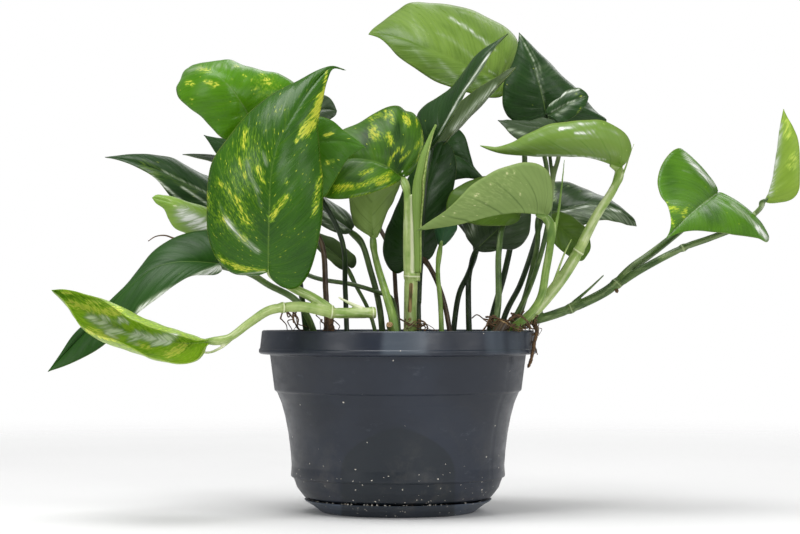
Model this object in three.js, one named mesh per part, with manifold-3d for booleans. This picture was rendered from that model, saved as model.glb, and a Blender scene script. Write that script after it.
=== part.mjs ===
// A pothos in a 15 cm plastic pot on its clip-on saucer.
// Millimetres, +Z up. The origin is the centre of the saucer's underside, and the front is towards -Y.
import * as THREE from 'three';
import { mergeVertices } from 'three/addons/utils/BufferGeometryUtils.js';
import Module from 'manifold-3d';

const wasm = await Module();
wasm.setup();

// ---- driving dimensions -------------------------------------------------------------------------

const CLEARANCE = 0.3; // between neighbouring solids
const ROUND_SEGMENTS = 32; // of the pot, the saucer and the soil

const POT_HEIGHT = 97.4; // rim top above the table
const RIM_RADIUS = 75; // widest point of the rim band, a 15 cm pot
const FLOOR_TOP = 5.6; // inside floor of the pot
const SOIL_TOP = 89;
const SAUCER_RADIUS = 50.5;
const SAUCER_THICKNESS = 1.4;
const DRAIN_HOLES = 8;
const DRAIN_HOLE_RADIUS = 4;
const DRAIN_CIRCLE_RADIUS = 28;

const BLADE_THICKNESS = 0.8;
const BLADE_ROWS = 7; // from the leaf's base to its tip
const BLADE_COLUMNS = 2; // from the midrib to the margin
const STALK_SIDES = 6;
const ROOTED = 76; // how low the planted ends of the stalks reach

// Places on the plant are written [across, up, depth]: across and up as they look from an eye in front of
// the pot, measured in the upright plane through its axis, and depth as the distance behind that plane.
const EYE = { x: 1, y: -1200, z: 106.6 };

function place([across, up, depth]) {
  const scale = (depth - EYE.y) / -EYE.y;
  return new THREE.Vector3(EYE.x + (across - EYE.x) * scale, depth, EYE.z + (up - EYE.z) * scale);
}

// ---- colours and finishes -----------------------------------------------------------------------

const FINISHES = {
  pot_plastic: { color: 0x3a424c, roughness: 0.45, metalness: 0 },
  soil: { color: 0x2e221a, roughness: 1, metalness: 0 },
  leaf_green: { color: 0x3c6a22, roughness: 0.35, metalness: 0 },
  leaf_dark: { color: 0x27401f, roughness: 0.35, metalness: 0 },
  leaf_pale: { color: 0x7fa348, roughness: 0.45, metalness: 0 },
  leaf_mottled: { color: 0x6a9a26, roughness: 0.35, metalness: 0 },
  stalk_green: { color: 0x5d8a35, roughness: 0.5, metalness: 0 },
  stem_cut: { color: 0x7a5f3c, roughness: 0.9, metalness: 0 },
};

// ---- leaves -------------------------------------------------------------------------------------
// midrib: places from the stalk joint to the tip.
// left, right: places on the margin, each after how far along the midrib it lies (0 joint, 1 tip), with
// the tip pointing up and the upper face towards the reader.
// bow: how far each half arches above its chord, as a share of its width; below zero it is hollow.
// lobe: how far each half's basal lobe reaches back behind the joint, as a share of the length.

const LEAVES = {
  leaf_front: {
    finish: 'leaf_mottled', stalk: 'runner_left',
    midrib: [[-70, 129, -70], [-70, 160, -80], [-67, 190, -80], [-52, 222, -66], [-37, 239.5, -50]],
    left: [[0.18, -102, 150, -66], [0.45, -99, 189, -66], [0.75, -70, 223, -60]],
    right: [[0.2, -43, 145, -68], [0.5, -41, 190, -68], [0.8, -41.5, 220, -58]],
    bow: [0.1, 0.1], lobe: [0.03, 0.09],
  },
  leaf_low_left: {
    finish: 'leaf_mottled', stalk: 'runner_left',
    midrib: [[-103, 91, -74], [-130, 93, -64], [-160, 103, -64], [-187, 119, -76]],
    left: [[0.15, -115, 81, -88], [0.55, -152, 91.5, -86], [0.82, -173, 101, -82]],
    right: [[0.2, -118, 93.5, -90], [0.5, -145, 104, -88], [0.85, -175, 118.5, -81]],
    bow: [-0.25, -0.28], lobe: [0.06, 0.02],
  },
  leaf_long_left: {
    finish: 'leaf_dark', stalk: 'stalk_long_left',
    midrib: [[-97, 134, -34], [-120, 134, -42], [-145, 120, -48], [-170, 93, -50], [-189, 75, -52]],
    left: [[0.1, -105, 128, -45], [0.3, -127, 116.5, -52], [0.6, -152, 96.5, -56], [0.8, -170, 82.5, -55]],
    right: [[0.15, -108, 151, -24], [0.5, -140, 131, -34], [0.75, -165, 104.5, -44]],
    bow: [0.1, 0.1], lobe: [0.02, 0.1],
  },
  leaf_upper_left: {
    finish: 'leaf_dark', stalk: 'stalk_upper_left',
    midrib: [[-84, 160, 24], [-104, 171, 20], [-125, 182, 18], [-158.5, 191, 16]],
    left: [[0.2, -98, 150, 14], [0.5, -123, 170, 12], [0.75, -141, 184.5, 13]],
    right: [[0.15, -92, 172, 40], [0.4, -110, 184, 36], [0.7, -132, 192.5, 28]],
    bow: [0.1, 0.1], lobe: [0.1, 0.1],
  },
  leaf_pale_left: {
    finish: 'leaf_pale', stalk: 'stalk_pale_left',
    midrib: [[-86, 152, -18], [-105, 160, -22], [-133, 169, -22]],
    left: [[0.4, -113, 149, -19], [0.7, -124, 158, -21], [0.88, -128, 164, -22]],
    right: [[0.3, -98, 167, -13], [0.7, -120, 168.5, -17]],
    bow: [0.12, 0.12], lobe: [0.08, 0.08],
  },
  leaf_top_left: {
    finish: 'leaf_mottled', stalk: 'stalk_top_left',
    midrib: [[-80, 211, -30], [-87, 223, -38], [-98, 235, -36], [-108, 240, -24], [-115, 238, -12]],
    left: [[0.25, -96, 204.5, -34], [0.6, -116, 221.5, -28], [0.85, -119, 231, -20]],
    right: [[0.1, -56, 232, -18], [0.42, -74, 239.5, -18], [0.8, -95, 242.8, -14]],
    bow: [0.1, 0.08], lobe: [0.1, 0.1],
  },
  leaf_back_left: {
    finish: 'leaf_dark', stalk: 'stalk_back_left',
    midrib: [[-62, 186, 50], [-85, 194, 48], [-105, 203, 44]],
    left: [[0.4, -82, 182, 40], [0.75, -97, 193.5, 41]],
    right: [[0.4, -72, 205, 58], [0.75, -95, 199.5, 48]],
    bow: [0.08, 0.08], lobe: [0.1, 0.1],
  },
  leaf_long_back: {
    finish: 'leaf_dark', stalk: 'stalk_long_back',
    midrib: [[-25, 151.5, -6], [-42, 163, -10], [-66, 178, -14], [-95, 190, -18], [-116.5, 192.5, -20]],
    left: [[0.25, -44, 157, -22], [0.6, -80, 178, -32], [0.85, -101, 188.5, -26]],
    right: [[0.25, -40, 168, 4], [0.6, -80, 187, 4], [0.85, -101, 191, -10]],
    bow: [0.08, 0.08], lobe: [0.03, 0.03],
  },
  leaf_mid_left: {
    finish: 'leaf_green', stalk: 'stalk_mid_left',
    midrib: [[-66, 190, -40], [-42, 199, -46], [-17.5, 196.5, -46]],
    left: [[0.3, -54, 214, -42], [0.65, -35.5, 210.5, -44], [0.85, -27, 204, -45]],
    right: [[0.3, -50, 166, -44], [0.6, -37, 173, -46], [0.85, -27, 190, -46]],
    bow: [0.08, 0.08], lobe: [0.08, 0.08],
  },
  leaf_small_grey: {
    finish: 'leaf_dark', stalk: 'stalk_back_left',
    midrib: [[-56, 206, -10], [-44, 217, -10], [-33, 216, -10]],
    left: [[0.5, -45, 226, -8]],
    right: [[0.5, -42, 209, -12]],
    bow: [0.08, 0.08], lobe: [0.1, 0.1],
  },
  leaf_centre: {
    finish: 'leaf_mottled', stalk: 'main_stem',
    midrib: [[1, 181, -33], [-5, 186, -37], [-18, 190, -38], [-34, 187, -37], [-46, 181, -38]],
    left: [[0.15, -8, 173.5, -46], [0.4, -25, 168.5, -47], [0.7, -39, 169, -40]],
    right: [[0.05, 4, 217.5, -22], [0.3, -12, 215.5, -20], [0.65, -31, 205.5, -22]],
    bow: [0.1, 0.1], lobe: [0.03, 0.24],
  },
  leaf_cupped: {
    finish: 'leaf_pale', stalk: 'stalk_cupped',
    midrib: [[-13.5, 148, -18], [-14, 163, -16], [-11, 180, -8], [-5, 195, 2]],
    left: [[0.3, -3, 166, -10], [0.6, 4, 184, 2]],
    right: [[0.3, -26, 162, -10], [0.6, -27, 182, 0]],
    bow: [-0.2, -0.2], lobe: [0.03, 0.03],
  },
  leaf_spear_back: {
    finish: 'leaf_dark', stalk: 'stalk_spears',
    midrib: [[17, 196, -8], [24, 206, -12], [34, 225, -16], [45, 242, -18], [59.5, 258, -14]],
    left: [[0.2, 10, 214, 2], [0.5, 28, 230, -6], [0.8, 45, 249, -12]],
    right: [[0.3, 31, 216, -26], [0.6, 41, 232, -28], [0.85, 50, 246, -24]],
    bow: [0.08, 0.08], lobe: [0.06, 0.03],
  },
  leaf_spear_front: {
    finish: 'leaf_dark', stalk: 'stalk_spears',
    midrib: [[20, 195, 8], [31, 206, 4], [43, 218, 2], [54, 230, 2], [64, 240, 4]],
    left: [[0.3, 32, 218, 12], [0.6, 46, 229.5, 8], [0.85, 57, 237, 5]],
    right: [[0.3, 29, 214, -8], [0.6, 42, 224, -8], [0.85, 55, 233, -3]],
    bow: [-0.08, -0.08], lobe: [0.04, 0.04],
  },
  leaf_top: {
    finish: 'leaf_pale', stalk: 'stalk_top',
    midrib: [[57, 232, 46], [37, 240.5, 40], [15, 250.5, 38], [0, 257, 42], [-16, 258, 50]],
    left: [[0.2, 40, 226, 35], [0.55, 16, 233.5, 33], [0.8, -3, 248.5, 40]],
    right: [[0.15, 54, 264, 72], [0.5, 16, 275.5, 72], [0.8, -3, 267.5, 62]],
    bow: [0.1, 0.08], lobe: [0.06, 0.1],
  },
  leaf_top_right: {
    finish: 'leaf_dark', stalk: 'stalk_top_right',
    midrib: [[80, 214, 28], [77, 229, 22], [72, 243, 24], [65.5, 258.5, 32]],
    left: [[0.15, 56.5, 222, 26], [0.5, 60, 239, 26], [0.8, 65, 252, 30]],
    right: [[0.1, 113, 211, 42], [0.45, 92, 233.5, 38], [0.75, 76, 248, 34]],
    bow: [0.1, 0.1], lobe: [0.12, 0.12],
  },
  leaf_small_right: {
    finish: 'leaf_dark', stalk: 'stalk_small_right',
    midrib: [[85, 206, -8], [70, 208, -14], [54, 211, -16]],
    left: [[0.3, 76, 196, -20], [0.65, 62, 202, -20]],
    right: [[0.3, 77, 212, -4], [0.7, 62, 211, -12]],
    bow: [0.08, 0.08], lobe: [0.08, 0.08],
  },
  leaf_folded_right: {
    finish: 'leaf_green', stalk: 'stalk_small_right',
    midrib: [[82, 214, 3], [92, 219, 0], [103, 224, 1]],
    left: [[0.5, 89, 225.5, 5], [0.8, 97, 228, 4]],
    right: [[0.4, 93, 211.5, -3], [0.75, 101, 218, -3]],
    bow: [0.1, 0.1], lobe: [0.04, 0.04],
  },
  leaf_arched: {
    finish: 'leaf_pale', stalk: 'stalk_arched',
    midrib: [[120, 186, -32], [105, 191.5, -36], [80, 193, -38], [60, 193, -36], [44.5, 197.3, -34]],
    left: [[0.05, 119, 207.5, -40], [0.4, 90, 210.8, -44], [0.75, 66, 200.5, -40]],
    right: [[0.15, 112, 206, -14], [0.6, 76, 204, -18]],
    bow: [-0.35, -0.2], lobe: [0.11, 0.05],
  },
  leaf_mid_right: {
    finish: 'leaf_pale', stalk: 'stalk_mid_right',
    midrib: [[80, 160, -48], [60, 161.5, -54], [33, 155.5, -54], [10.5, 151.5, -50]],
    left: [[0.12, 73, 188, -62], [0.35, 53, 184, -64], [0.65, 33, 168.5, -60], [0.85, 21, 158.5, -54]],
    right: [[0.15, 73, 180, -34], [0.6, 38, 166, -40]],
    bow: [-0.15, -0.15], lobe: [0.06, 0.03],
  },
  leaf_dark_dome: {
    finish: 'leaf_dark', stalk: 'stalk_dark_pair',
    midrib: [[12, 186, 38], [25, 193, 34], [36, 188, 34], [50, 176, 38]],
    left: [[0.3, 25, 207, 38], [0.6, 38, 200, 37], [0.85, 44, 184, 38]],
    right: [[0.3, 24, 180, 32], [0.65, 37, 180, 34]],
    bow: [0.1, 0.1], lobe: [0.08, 0.08],
  },
  leaf_dark_centre: {
    finish: 'leaf_dark', stalk: 'stalk_dark_centre',
    midrib: [[9, 138, -6], [12, 160, -10], [18, 180, -8], [25, 200, 0]],
    left: [[0.2, -9, 144, -2], [0.5, -4, 168, 0]],
    right: [[0.1, 22, 148, -4], [0.4, 29, 166, -4], [0.65, 33, 182, -2]],
    bow: [0.06, 0.06], lobe: [0.14, 0.02],
  },
  leaf_olive: {
    finish: 'leaf_green', stalk: 'stalk_olive',
    midrib: [[66, 160, -16], [46, 166, -20], [26, 161, -18]],
    left: [[0.3, 52, 154, -24], [0.7, 33, 157, -22]],
    right: [[0.2, 60, 181, -10], [0.6, 40, 178.5, -12], [0.85, 30, 174, -14]],
    bow: [0.08, 0.08], lobe: [0.06, 0.06],
  },
  leaf_dark_right: {
    finish: 'leaf_dark', stalk: 'stalk_dark_right',
    midrib: [[76, 160, 20], [92, 163, 14], [108, 166.5, 12], [120, 162, 14], [129, 154.5, 18]],
    left: [[0.25, 90, 178, 30], [0.55, 106, 171.5, 28], [0.8, 121, 165, 22]],
    right: [[0.25, 90, 152, 6], [0.55, 108, 157, 2], [0.8, 120, 155.5, 8]],
    bow: [0.1, 0.06], lobe: [0.06, 0.06],
  },
  leaf_disc_right: {
    finish: 'leaf_green', stalk: 'runner_right',
    midrib: [[82, 157, -16], [92, 149, -20], [103, 138, -20]],
    left: [[0.4, 100, 156, -16], [0.75, 105, 145, -18]],
    right: [[0.4, 84, 141, -22], [0.75, 95, 135.5, -22]],
    bow: [0.08, 0.08], lobe: [0.04, 0.04],
  },
  leaf_far_right: {
    finish: 'leaf_green', stalk: 'runner_right',
    midrib: [[173, 172, 0], [166, 167, -18], [158, 160, -40], [145, 147, -68]],
    left: [[0.12, 199, 146, -8], [0.5, 172, 149.5, -36], [0.8, 156, 150, -56]],
    right: [[0.12, 148, 193, -12], [0.45, 140.5, 177, -32], [0.75, 146, 161, -52]],
    bow: [0.1, 0.1], lobe: [0.04, 0.1],
  },
  leaf_right_tip: {
    finish: 'leaf_pale', stalk: 'runner_right',
    midrib: [[198, 167, -20], [202, 184, -22], [205.5, 200, -22], [208.5, 217, -18]],
    left: [[0.15, 208, 173, -2], [0.55, 211, 192, -6]],
    right: [[0.1, 216.5, 171, -26], [0.5, 217.5, 190, -26], [0.8, 214, 206, -22]],
    bow: [0.1, 0.1], lobe: [0, 0],
  },
  leaf_grey_low: {
    finish: 'leaf_dark', stalk: 'stalk_dark_pair',
    midrib: [[42, 141, 4], [52, 150, 2], [62, 160, 4], [70, 172, 10]],
    left: [[0.3, 35, 158, 10], [0.6, 48, 172, 14]],
    right: [[0.3, 64, 142, 6], [0.55, 71, 152, 8]],
    bow: [0.08, 0.08], lobe: [0.04, 0.04],
  },
  leaf_small_left: {
    finish: 'leaf_green', stalk: 'stalk_small_left',
    midrib: [[-27, 132, 28], [-36, 140, 26], [-52, 150, 24]],
    left: [[0.3, -37, 132, 22], [0.6, -46, 140, 22]],
    right: [[0.25, -27, 143, 30], [0.6, -38, 149, 30]],
    bow: [0.08, 0.08], lobe: [0.06, 0.12],
  },
  leaf_bluish: {
    finish: 'leaf_green', stalk: 'stalk_bluish',
    midrib: [[23, 142.5, -22], [25, 150, -24], [28, 162, -22]],
    left: [[0.4, 19, 154, -20]],
    right: [[0.4, 33, 153, -20]],
    bow: [0.08, 0.08], lobe: [0.02, 0.02],
  },
};

// ---- stems and stalks ---------------------------------------------------------------------------
// Each is a list of branches that grow together; a branch has its places in growing order, and its radius
// at the first and at the last of them.

const STALKS = {
  runner_left: {
    finish: 'stalk_green',
    branches: [
      {
        radius: [2.9, 2.7],
        path: [[-12, 107, -58], [-25, 106.8, -60], [-36, 107, -62], [-50, 110, -65], [-62, 110, -68]],
      },
      {
        radius: [2.6, 1.8],
        path: [[-61, 110, -68], [-70, 108, -70], [-80, 101.5, -72], [-92, 93, -74], [-102, 91.5, -74]],
      },
      {
        radius: [2.9, 1.8],
        path: [[-36, 108, -62], [-46, 115, -62], [-58, 121, -62], [-66, 126, -64], [-69.5, 128.6, -68]],
      },
      { radius: [1.6, 1.2], path: [[-36.5, 106, -61], [-36, 99, -57], [-35, 88, -53], [-34, ROOTED, -50]] },
      { radius: [1.0, 0.4], path: [[-18, 107, -59], [-25, 112.5, -60], [-33.5, 115.5, -61]] },
    ],
  },
  runner_right: {
    finish: 'stalk_green',
    branches: [
      {
        radius: [2.4, 2.7],
        path: [
          [54, ROOTED, 2], [57, 93, 0], [65, 101.5, -4], [76, 103.5, -6], [95, 110, -8], [113, 119, -8],
          [119, 124, -8],
        ],
      },
      {
        radius: [2.4, 1.6],
        path: [
          [117, 122, -8], [126, 131, -8], [135, 137.5, -6], [146, 146, 2], [158, 156, 8], [168, 166, 8],
          [172.5, 171, 3],
        ],
      },
      {
        radius: [2.2, 1.3],
        path: [
          [117, 121, -8], [130, 129.5, -12], [154, 142, -14], [168, 147, -13], [182, 152.5, -12],
          [189, 157, -7], [193, 160.5, -1], [196, 163.6, -7], [197.5, 166, -19],
        ],
      },
      { radius: [1.5, 1.2], path: [[76, 103.5, -6], [79, 120, -8], [82, 140, -12], [82, 156.6, -15.6]] },
      {
        radius: [1.2, 0.8],
        path: [
          [72, 102, -6], [74, 99.8, -13], [75, 96, -25], [73.5, 90, -28], [72, 82, -28], [70, 77, -27],
        ],
      },
      { radius: [1.1, 0.4], path: [[93, 111, -9], [103, 119.5, -10], [111.5, 127.5, -10]] },
      { radius: [1.2, 1.0], path: [[117, 121.5, -8], [118.5, 117.5, -10]] },
    ],
  },
  main_stem: {
    finish: 'stalk_green',
    branches: [
      { radius: [3.3, 3.5], path: [[6.5, ROOTED, -34], [6.5, 100, -34], [6.5, 127, -36]] },
      { radius: [4.0, 3.0], path: [[6.8, 125, -36], [7, 150, -38], [7.5, 170, -38]] },
      { radius: [2.6, 1.7], path: [[6, 162, -38], [5, 174, -36], [1.5, 180.5, -34]] },
      { radius: [2.2, 1.6], path: [[10, 150, -40], [11.5, 170, -42]] },
    ],
  },
  stalk_long_left: {
    finish: 'stalk_green',
    branches: [
      {
        radius: [1.9, 1.7],
        path: [
          [-44, ROOTED, -30], [-46, 98, -36], [-55, 113.5, -42], [-70, 122, -42], [-80, 128, -40],
          [-96.5, 133.7, -35],
        ],
      },
    ],
  },
  stalk_upper_left: {
    finish: 'stalk_green',
    branches: [
      {
        radius: [1.3, 1.3],
        path: [
          [2, ROOTED, -18], [0, 100, -16], [-4, 115, -13], [-11, 118, -9.5], [-24, 122, 2], [-48, 127, 16],
          [-70, 142, 23], [-80, 154, 26], [-83.8, 159.6, 24.8],
        ],
      },
    ],
  },
  stalk_pale_left: {
    finish: 'stem_cut',
    branches: [
      {
        radius: [1.6, 1.4],
        path: [
          [-38, ROOTED, -22], [-39, 118, -20], [-42, 146, -18], [-54, 160, -22], [-72, 158, -20],
          [-85.5, 152.3, -18],
        ],
      },
    ],
  },
  stalk_top_left: {
    finish: 'stalk_green',
    branches: [
      {
        radius: [1.4, 1.4],
        path: [
          [-27, ROOTED, -16], [-28.5, 120, -14], [-30, 145, -24], [-40, 166, -30], [-60, 192, -28],
          [-79.5, 210.5, -30],
        ],
      },
    ],
  },
  stalk_back_left: {
    finish: 'stem_cut',
    branches: [
      {
        radius: [1.3, 1.2],
        path: [
          [2, ROOTED, 12], [-1, 115, 16], [-4, 140, 22], [-20, 165, 36], [-42, 178, 45],
          [-61.5, 185.8, 50],
        ],
      },
      { radius: [1.1, 1.0], path: [[-40, 177.3, 44.2], [-49, 190, 22], [-56.3, 205.5, -9.3]] },
    ],
  },
  stalk_long_back: {
    finish: 'stalk_green',
    branches: [
      {
        radius: [1.8, 1.6],
        path: [[-7, ROOTED, -4], [-10, 110, -4], [-15, 130, -4], [-20, 145, -5], [-24.6, 151.2, -6]],
      },
    ],
  },
  stalk_mid_left: {
    finish: 'stalk_green',
    branches: [
      {
        radius: [1.7, 1.4],
        path: [
          [-47, ROOTED, -14], [-50, 100, -18], [-54, 130, -30], [-60, 160, -36], [-66, 183, -36.5],
          [-66.2, 189.6, -38.8],
        ],
      },
    ],
  },
  stalk_cupped: {
    finish: 'stalk_green',
    branches: [
      {
        radius: [2.8, 1.5],
        path: [
          [-1, ROOTED, -50], [-2.5, 102, -48], [-5, 112, -44], [-11, 132, -30], [-13, 141, -23],
          [-13.5, 147.8, -18.5],
        ],
      },
      { radius: [1.8, 1.9], path: [[-2.5, 95, -48.5], [-4, 98.5, -53], [-4.6, 100.6, -56]] },
    ],
  },
  stalk_spears: {
    finish: 'stalk_green',
    branches: [
      {
        radius: [1.5, 1.3],
        path: [[12, ROOTED, -18], [11, 120, -16], [13, 150, -20], [15, 178, -18], [16.8, 195.7, -8.6]],
      },
      {
        radius: [1.4, 1.3],
        path: [[11.3, 112, -16.5], [12, 128, -4], [14, 150, 10], [15, 175, 12], [19.6, 194.6, 8.4]],
      },
    ],
  },
  stalk_top: {
    finish: 'stalk_green',
    branches: [
      {
        radius: [1.9, 1.4],
        path: [
          [48, ROOTED, 26], [50, 100, 29], [58, 130, 34], [64, 160, 40], [68.5, 190, 44], [63, 218, 50],
          [57.4, 231.5, 47],
        ],
      },
    ],
  },
  stalk_top_right: {
    finish: 'stalk_green',
    branches: [
      {
        radius: [1.7, 1.3],
        path: [
          [50, ROOTED, 10], [58, 106, 10], [66, 122, 18], [73, 142, 28], [78, 160, 35], [80.5, 183, 36],
          [78.5, 196, 34], [79.8, 213.5, 28.4],
        ],
      },
    ],
  },
  stalk_small_right: {
    finish: 'stalk_green',
    branches: [
      {
        radius: [1.6, 1.2],
        path: [
          [50, ROOTED, -10], [60, 98, -9], [70, 118, -14], [77, 138, -26], [81, 155, -30], [84, 180, -16],
          [87, 194, -8], [85.3, 205.6, -8],
        ],
      },
      { radius: [1.1, 0.9], path: [[83.8, 178, -18], [82, 194, -5], [81.8, 213.5, 2.8]] },
    ],
  },
  stalk_arched: {
    finish: 'stalk_green',
    branches: [
      {
        radius: [3.0, 3.1],
        path: [
          [60, ROOTED, -14], [62, 95, -16], [69, 103.5, -22], [75, 109, -27], [88, 125, -32],
          [97.5, 140, -34],
        ],
      },
      {
        radius: [2.8, 2.0],
        path: [[97, 139, -34], [107, 159, -36], [116, 173, -36], [119.5, 181, -34], [119.9, 185.6, -32.4]],
      },
      { radius: [1.2, 0.5], path: [[119, 172, -36], [122.5, 184, -36], [126, 194, -36], [128, 199, -36]] },
      { radius: [0.9, 0.4], path: [[83, 120, -31], [90, 139, -36], [94, 147, -38]] },
    ],
  },
  stalk_mid_right: {
    finish: 'stalk_green',
    branches: [
      {
        radius: [2.3, 2.0],
        path: [
          [56, ROOTED, -30], [60, 96, -32], [71, 106, -39], [77, 115, -42], [80, 130, -44],
          [82.5, 146, -46], [82, 155, -47], [80.4, 159.7, -48],
        ],
      },
      { radius: [1.4, 0.3], path: [[84, 141, -46], [86.5, 160, -48], [88.8, 178, -48], [90, 190, -46]] },
    ],
  },
  stalk_dark_pair: {
    finish: 'stalk_green',
    branches: [
      {
        radius: [1.6, 1.4],
        path: [
          [28, ROOTED, 8], [33, 117, 10], [38, 128, 12], [42, 141, 16], [36, 152, 26], [22, 168, 38],
          [12.4, 185.4, 38.4],
        ],
      },
      {
        radius: [1.7, 1.5],
        path: [[39, ROOTED, 2], [38, 115, 5], [38.4, 127, 11], [40.5, 136, 8], [41.8, 140.6, 4.2]],
      },
    ],
  },
  stalk_dark_centre: {
    finish: 'stalk_green',
    branches: [
      {
        radius: [1.5, 1.3],
        path: [[31, ROOTED, -10], [25, 112, -8], [19, 128, -7], [14, 135.5, -6], [9.5, 137.8, -6]],
      },
    ],
  },
  stalk_olive: {
    finish: 'stalk_green',
    branches: [
      {
        radius: [1.9, 1.5],
        path: [[48, ROOTED, -32], [54, 110, -30], [54.5, 140, -26], [58, 156, -18], [65.6, 159.8, -16]],
      },
    ],
  },
  stalk_dark_right: {
    finish: 'stalk_green',
    branches: [
      {
        radius: [1.8, 1.5],
        path: [
          [61, ROOTED, 4], [64, 100, 7], [67, 110, 9], [70, 120, 11], [75, 142, 14], [76, 159.6, 20.4],
        ],
      },
    ],
  },
  stalk_small_left: {
    finish: 'stalk_green',
    branches: [
      {
        radius: [1.2, 1.1],
        path: [[-8, ROOTED, 26], [-15, 106, 28], [-23, 122, 29], [-27, 131.6, 28.4]],
      },
    ],
  },
  stalk_bluish: {
    finish: 'stalk_green',
    branches: [
      {
        radius: [1.5, 1.2],
        path: [[24, ROOTED, -30], [23, 110, -28], [21.5, 130, -25], [22.9, 142, -22.4]],
      },
    ],
  },
  cut_stem_right: {
    finish: 'stem_cut',
    branches: [
      { radius: [3.1, 3.3], path: [[44, ROOTED, -42], [52, 92, -42], [57.5, 101.5, -40]] },
    ],
  },
};

// ---- from meshes to solids and back -------------------------------------------------------------

function solidFrom(geometry) {
  const bare = geometry.clone();
  bare.deleteAttribute('normal');
  bare.deleteAttribute('uv');
  const merged = mergeVertices(bare, 1e-4);
  return new wasm.Manifold(new wasm.Mesh({
    numProp: 3,
    vertProperties: new Float32Array(merged.attributes.position.array),
    triVerts: new Uint32Array(merged.index.array),
  }));
}

function geometryFrom(solid) {
  const mesh = solid.getMesh();
  const geometry = new THREE.BufferGeometry();
  geometry.setAttribute('position', new THREE.BufferAttribute(mesh.vertProperties, 3));
  geometry.setIndex(new THREE.BufferAttribute(mesh.triVerts, 1));
  geometry.computeVertexNormals();
  return geometry;
}

function closedGeometry(points, triangles) {
  const geometry = new THREE.BufferGeometry();
  const coordinates = points.flatMap((point) => point.toArray());
  geometry.setAttribute('position', new THREE.Float32BufferAttribute(coordinates, 3));
  geometry.setIndex(triangles.flat());
  geometry.computeVertexNormals();
  return geometry;
}

// ---- turned pieces ------------------------------------------------------------------------------

function turned(profile) {
  const outline = profile.map(([radius, height]) => new THREE.Vector2(radius, height));
  const geometry = new THREE.LatheGeometry(outline, ROUND_SEGMENTS);
  geometry.rotateX(Math.PI / 2); // the lathe turns about Y; this stands it along +Z
  return geometry;
}

// Outside of the pot from the foot to the rim, and inside from the rim to the floor: [radius, height].
const POT_OUTSIDE = [
  [0, 4], [36, 4], [36.6, 1.8], [38.6, 1.8], [39.2, 4], [42, 4], [45, 6.3], [SAUCER_RADIUS, 8.3],
  [54.3, 13.2], [56.8, 18.4], [57.5, 32.6], [59.7, 45.6], [61.8, 55], [65.2, 64.4], [66.5, 65.2],
  [69, 84.5], [73.9, 84.7], [RIM_RADIUS, 85.6], [RIM_RADIUS - 1.7, 96.8], [RIM_RADIUS - 2.2, POT_HEIGHT],
];
const POT_INSIDE = [
  [71.6, POT_HEIGHT], [71.8, 86.5], [67.6, 86.1], [65, 66.3], [60.3, 55.6], [56, 32.8],
  [55.2, 19], [48.6, 9.6], [41, FLOOR_TOP], [0, FLOOR_TOP],
];
const SAUCER = [
  [0, 0], [41, 0], [42.8, 1.3], [45.6, 3.5], [SAUCER_RADIUS - 0.3, 6.3], [SAUCER_RADIUS, 6.9],
  [49, 6.9], [44.2, 3.9], [41.3, SAUCER_THICKNESS], [0, SAUCER_THICKNESS],
];

function drainHole(index) {
  const angle = (index / DRAIN_HOLES) * 2 * Math.PI;
  const hole = new THREE.CylinderGeometry(DRAIN_HOLE_RADIUS, DRAIN_HOLE_RADIUS, 3 * FLOOR_TOP, 8);
  hole.rotateX(Math.PI / 2);
  hole.translate(DRAIN_CIRCLE_RADIUS * Math.cos(angle), DRAIN_CIRCLE_RADIUS * Math.sin(angle), FLOOR_TOP);
  return solidFrom(hole);
}

function potSolid() {
  let pot = solidFrom(turned([...POT_OUTSIDE, ...POT_INSIDE]));
  for (let i = 0; i < DRAIN_HOLES; i += 1) pot = pot.subtract(drainHole(i));
  return pot;
}

// The soil fills the pot's inside up to SOIL_TOP, and each stem is planted in a hole of its own shape.
function soilSolid(stalkCutters) {
  const wall = POT_INSIDE.slice(1).reverse().map(([radius, height]) => (
    radius === 0 ? [0, height + CLEARANCE] : [radius - 1.6 * CLEARANCE, height + CLEARANCE]
  ));
  const edge = POT_INSIDE[1][0] - 1.6 * CLEARANCE;
  let soil = solidFrom(turned([...wall, [edge, SOIL_TOP], [0, SOIL_TOP]]));
  for (const cutter of stalkCutters) soil = soil.subtract(cutter);
  return soil;
}

// ---- leaf blades --------------------------------------------------------------------------------

const WIDEST_ALONG = 0.22; // where a blade is widest, as a share of its length
const LOBE_PART = 0.4; // share of the half outline that runs round the basal lobe
const SINUS_START = 0.08; // share of the half outline hidden in the notch at the joint
const VEIN_SPREAD = 1.7; // how much the side veins crowd towards the joint

function cubic(a, b, c, d, t) {
  const s = 1 - t;
  return s * s * s * a + 3 * s * s * t * b + 3 * s * t * t * c + t * t * t * d;
}

// A point of the half outline of a heart-shaped leaf: [along the midrib, across], t from joint to tip.
function halfOutline(t, lobe) {
  if (t < LOBE_PART) {
    const s = t / LOBE_PART;
    const back = -1.5 * lobe - 0.02;
    return [cubic(0, back, back, WIDEST_ALONG, s), cubic(0, 0.2, 1, 1, s)];
  }
  const s = (t - LOBE_PART) / (1 - LOBE_PART);
  return [cubic(WIDEST_ALONG, 0.55, 0.8, 1, s), cubic(1, 1, 0.3, 0, s)];
}

// Half width of the outline beside the midrib's point at `along`.
function outlineWidth(along, lobe) {
  let low = 0.6 * LOBE_PART;
  let high = 1;
  for (let i = 0; i < 30; i += 1) {
    const middle = (low + high) / 2;
    if (halfOutline(middle, lobe)[0] < along) low = middle;
    else high = middle;
  }
  return halfOutline(low, lobe)[1];
}

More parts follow.
